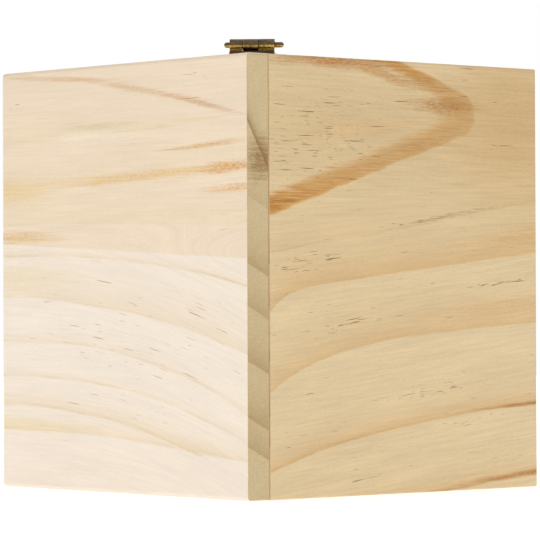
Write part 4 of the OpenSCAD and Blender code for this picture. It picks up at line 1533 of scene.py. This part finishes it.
@dataclass
class JackFigure:
    """The jack: padded shoulders and arms, a ruffled collar, a painted head and a felt hat."""

    nodes: dict[str, bpy.types.Object]
    sides: int = 96
    hat_ease: float = 1.02
    hat_fill: float = 0.6

    def build(self) -> None:
        """Make the soft pieces and dress the turned ones."""
        self.make_torso()
        self.make_arms()
        self.make_ruff()
        self.make_hat()
        self.make_pompom()
        dress_node(self.nodes["head"], FACE_PAINT)
        dress_node(self.nodes["nose"], RED_PAINT)
        dress_node(self.nodes["eyes"], BLACK_PAINT)
        for name in ("left_hand", "right_hand"):
            dress_node(self.nodes[name], SKIN_PAINT)
        for name in ("platform_disc", "neck_dowel"):
            dress_node(self.nodes[name], BEECH)

    def make_torso(self) -> None:
        """Make the padded shoulders, gathered at the neck, with a seam round their foot."""
        low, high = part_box("torso")
        widest, neck = high.x, 4.25 * MM

        def build(work: bmesh.types.BMesh) -> None:
            """Lay rings from the inner foot, over the shoulders and down the neck hole."""
            rings = [round_ring(neck, low.z + 0.1 * MM, self.sides),
                     round_ring(19.5 * MM, low.z + 0.1 * MM, self.sides)]
            steps = 22
            for step in range(steps + 1):
                share = step / steps
                angle = math.radians(-62 + 152 * share)
                radius = 9 * MM + (widest - 9 * MM) * max(math.cos(angle), 0.0) ** 0.8
                height = low.z + 2.3 * MM + (high.z - low.z - 2.5 * MM) * math.sin(angle) * (
                    1.0 if angle > 0 else 0.45)
                gather = 0.30 * MM * share ** 2
                seam = 0.45 * MM * math.exp(-((share - 0.30) / 0.035) ** 2)
                rings.append(round_ring(
                    radius - seam - 0.15 * MM, height, self.sides,
                    lambda a, g=gather: (0.5 * g * math.sin(24 * a), g * math.cos(24 * a) - g)))
            rings.append(round_ring(7.0 * MM, high.z - 1.1 * MM, self.sides))
            rings.append(round_ring(neck, high.z - 1.5 * MM, self.sides))
            skin(work, rings)

        torso = new_piece("padded_shoulders", build, RED_CLOTH, "jack")
        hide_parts("torso")

    def make_arms(self) -> None:
        """Make the two stuffed arms, gathered at the shoulder and hemmed at the wrist."""
        for name, side in (("left_arm", -1), ("right_arm", 1)):
            slope = Vector((side * math.sin(math.radians(125)), 0, math.cos(math.radians(125))))
            bend = Vector((side * 28.4 * MM, 0, 82.5 * MM))
            wrist = bend + slope * 13.0 * MM
            start = Vector((side * 24.35 * MM, 0, 82.9 * MM))

            def build(work: bmesh.types.BMesh, start: Vector = start, bend: Vector = bend,
                      wrist: Vector = wrist) -> None:
                """Sweep the arm along a bent path, fat in the middle."""
                path, radii = [], []
                steps = 26
                for step in range(steps + 1):
                    share = step / steps
                    first = start.lerp(bend, share)
                    path.append(first.lerp(bend.lerp(wrist, share), share))
                    bulge = math.sin(math.pi * (0.12 + 0.76 * share)) ** 0.5
                    hem = 0.45 * math.exp(-((share - 0.97) / 0.05) ** 2)
                    nip = 0.5 * math.exp(-((share - 0.88) / 0.04) ** 2)
                    radii.append((3.75 * bulge + hem - nip) * MM)
                sweep(work, path, radii, 32)
                for vertex in work.verts:
                    along = (vertex.co - start).length
                    fold = 0.12 * MM * math.sin(along / MM * 1.9 + vertex.co.y / MM * 1.3)
                    vertex.co.z += fold
                    vertex.co.y += 0.5 * fold

            arm = new_piece("stuffed_" + name, build, RED_CLOTH, "jack")
            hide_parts(name)

    def make_ruff(self) -> None:
        """Make the ruffled collar: a strip gathered round the neck."""
        low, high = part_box("collar_ruff")
        inner, outer = 8.2 * MM, high.x - 0.2 * MM
        waves, rows, sides = 17, 12, 272
        swing = 0.5 * (high.z - low.z) - 0.1 * MM

        def build(work: bmesh.types.BMesh) -> None:
            """Lay rings outwards, with waves that grow towards the edge."""
            rings = []
            for row in range(rows + 1):
                share = row / rows

                def shift(angle: float, share: float = share) -> tuple[float, float]:
                    """Wave up and down, and pull in a little where the waves are steep."""
                    wave = math.sin(waves * angle + 0.7 * math.sin(2 * angle))
                    lean = 0.35 * MM * share * math.cos(2 * waves * angle)
                    return lean, swing * share ** 0.8 * wave

                rings.append(round_ring(inner + (outer - 0.35 * MM - inner) * share,
                                        0.5 * (low.z + high.z), sides, shift))
            skin(work, rings)

        ruff = new_piece("ruffled_collar", build, YELLOW_FELT, "jack")
        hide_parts("collar_ruff")

    def make_hat(self) -> None:
        """Make the felt cone with its folded band, its seam and the band's stitches."""
        low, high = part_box("hat")
        band_top = low.z + 4.0 * MM

        def cone_radius(share: float) -> float:
            """Give the cone's radius at a share of its height."""
            return (16.9 + (2.5 - 16.9) * share + 0.5 * math.sin(math.pi * share)) * MM

        def cone(work: bmesh.types.BMesh) -> None:
            """Lay rings up the cone, with a seam at the back and soft dents."""
            rings = []
            steps = 26
            for step in range(steps + 1):
                share = step / steps

                def shift(angle: float, share: float = share) -> tuple[float, float]:
                    """Dent the felt softly and pull it in along the seam."""
                    off = math.atan2(math.sin(angle - math.pi / 2), math.cos(angle - math.pi / 2))
                    seam = 0.35 * math.exp(-(off * (17 - 14 * share) / 0.7) ** 2)
                    dent = 0.16 * math.sin(3 * angle + 5 * share) * math.sin(math.pi * share)
                    return (dent - seam) * MM, 0.0

                height = band_top - 0.6 * MM + (high.z - band_top + 0.5 * MM) * share
                rings.append(round_ring(cone_radius(share), height, self.sides, shift))
            rings.append(round_ring(1.0 * MM, high.z - 0.02 * MM, self.sides))
            skin(work, rings)

        def band(work: bmesh.types.BMesh) -> None:
            """Lay a folded strip round the foot of the cone."""
            profile = ((17.0, 0.6), (17.1, 0.15), (17.6, 0.0), (18.25, 0.2), (18.4, 0.8),
                       (18.35, 2.2), (18.3, 3.4), (18.0, 3.85), (17.4, 3.95), (16.7, 3.7),
                       (16.4, 3.4))

            def shift(angle: float) -> tuple[float, float]:
                """Make the band slightly uneven."""
                return 0.06 * MM * math.sin(5 * angle), 0.05 * MM * math.sin(4 * angle)

            skin(work, [round_ring(out * MM, low.z + up * MM, self.sides, shift)
                        for out, up in profile])

        def stitches(work: bmesh.types.BMesh) -> None:
            """Lay short stitches round the band."""
            count, radius, thread = 36, 18.32, 0.2 * MM
            arch = ((0.0, 0.0), (0.14, 0.16), (0.28, 0.2), (0.42, 0.16), (0.56, 0.0))
            for index in range(count):
                path = []
                for share, lift in arch:
                    angle = math.tau * (index + share) / count
                    out = (radius + lift) * MM
                    path.append(Vector((out * math.cos(angle), out * math.sin(angle),
                                        low.z + 2.9 * MM)))
                sweep(work, path, [thread] * len(path), 6)

        hat = new_piece("felt_hat", cone, BLUE_FELT, "jack")
        folded = new_piece("hat_band", band, BLUE_FELT, "jack")
        sewing = new_piece("hat_stitches", stitches, YELLOW_FELT, "jack")
        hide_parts("hat")

    def make_pompom(self) -> None:
        """Make the yarn ball on the hat from short bent strands."""
        low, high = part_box("hat_pompom")
        middle = (Vector(low) + Vector(high)) / 2
        reach = (high.z - low.z) / 2 - 0.05 * MM

        def build(work: bmesh.types.BMesh) -> None:
            """Stand strands out from the middle, spread evenly."""
            chance = random.Random(5)
            count = 300
            for index in range(count):
                z = 1 - 2 * (index + 0.5) / count
                angle = index * math.pi * (3 - math.sqrt(5))
                ring = math.sqrt(1 - z * z)
                out = Vector((ring * math.cos(angle), ring * math.sin(angle), z))
                lean = Vector([chance.uniform(-0.3, 0.3) for _ in range(3)])
                tip = (out + lean).normalized() * reach * chance.uniform(0.86, 1.0)
                path = [middle + out * reach * 0.2, middle + out * reach * 0.6,
                        middle + out.lerp(tip / reach, 0.6) * reach * 0.85, middle + tip]
                sweep(work, path, [0.2 * MM, 0.24 * MM, 0.27 * MM, 0.16 * MM], 5)

        pompom = new_piece("yarn_pompom", build, YELLOW_FELT, "jack")
        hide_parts("hat_pompom")


def dress_node(node: bpy.types.Object, finish: Finish) -> None:
    """Give a CAD node its finish.

    Args:
        node: the node's object.
        finish: the finish.
    """
    node.data.materials.clear()
    node.data.materials.append(finish.build())
    LOG.info("%s wears %s", node.name, finish.name)


@dataclass
class Hardware:
    """The hinge, the catch, the crank and the musical movement, which keep their CAD shapes."""

    nodes: dict[str, bpy.types.Object]

    def build(self) -> None:
        """Dress every metal piece and ease its edges."""
        # The hinge wears brass with painted shade, a painted highlight and a painted shadow.
        for name in ("hinge_leaf_fixed", "hinge_leaf_lid", "hinge_pin", "hinge_screws_fixed",
                     "hinge_screws_lid"):
            dress_node(self.nodes[name], OLD_BRASS_WITH_PAINTED_LIGHT)
        for name in ("catch_keeper", "keeper_screws", "deck_screws", "shaft_collar",
                     "shaft_bushing", "crank_arm", "crank_gear", "bearing_posts", "tune_drum",
                     "drum_gear", "trip_cam", "sleeve_tacks", "seat_screw"):
            dress_node(self.nodes[name], BRASS)
        for name in ("latch_lever", "latch_bracket", "latch_pivot_pin", "bracket_screws",
                     "crank_shaft", "crank_washer", "knob_pin", "movement_screws", "drum_shaft",
                     "tone_comb", "comb_screws", "latch_spring"):
            dress_node(self.nodes[name], STEEL)
        for name in ("movement_plate", "comb_bed"):
            dress_node(self.nodes[name], IRON)
        for name in ("sleeve_ring", "spring_seat"):
            dress_node(self.nodes[name], BEECH)
        dress_node(self.nodes["crank_knob"], RED_PAINT)
        for name, width in (("hinge_leaf_fixed", 0.00018), ("hinge_leaf_lid", 0.00018),
                            ("crank_arm", 0.0005), ("shaft_bushing", 0.0003),
                            ("crank_washer", 0.0002), ("knob_pin", 0.0003),
                            ("catch_keeper", 0.0002), ("crank_shaft", 0.0003),
                            ("latch_lever", 0.0002), ("shaft_collar", 0.0002)):
            ease_edges(self.nodes[name], width)


def main() -> None:
    """Build the whole scene."""
    logging.basicConfig(level=logging.INFO)
    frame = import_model()
    nodes = frame["nodes"]
    low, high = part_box("back_wall")
    Stage(near_corner=Vector((low.x, high.y, 0.0))).build()
    PineBox(nodes).build()
    Hardware(nodes).build()
    SpringAndSleeve().build()
    JackFigure(nodes).build()


if __name__ == "__main__":
    main()
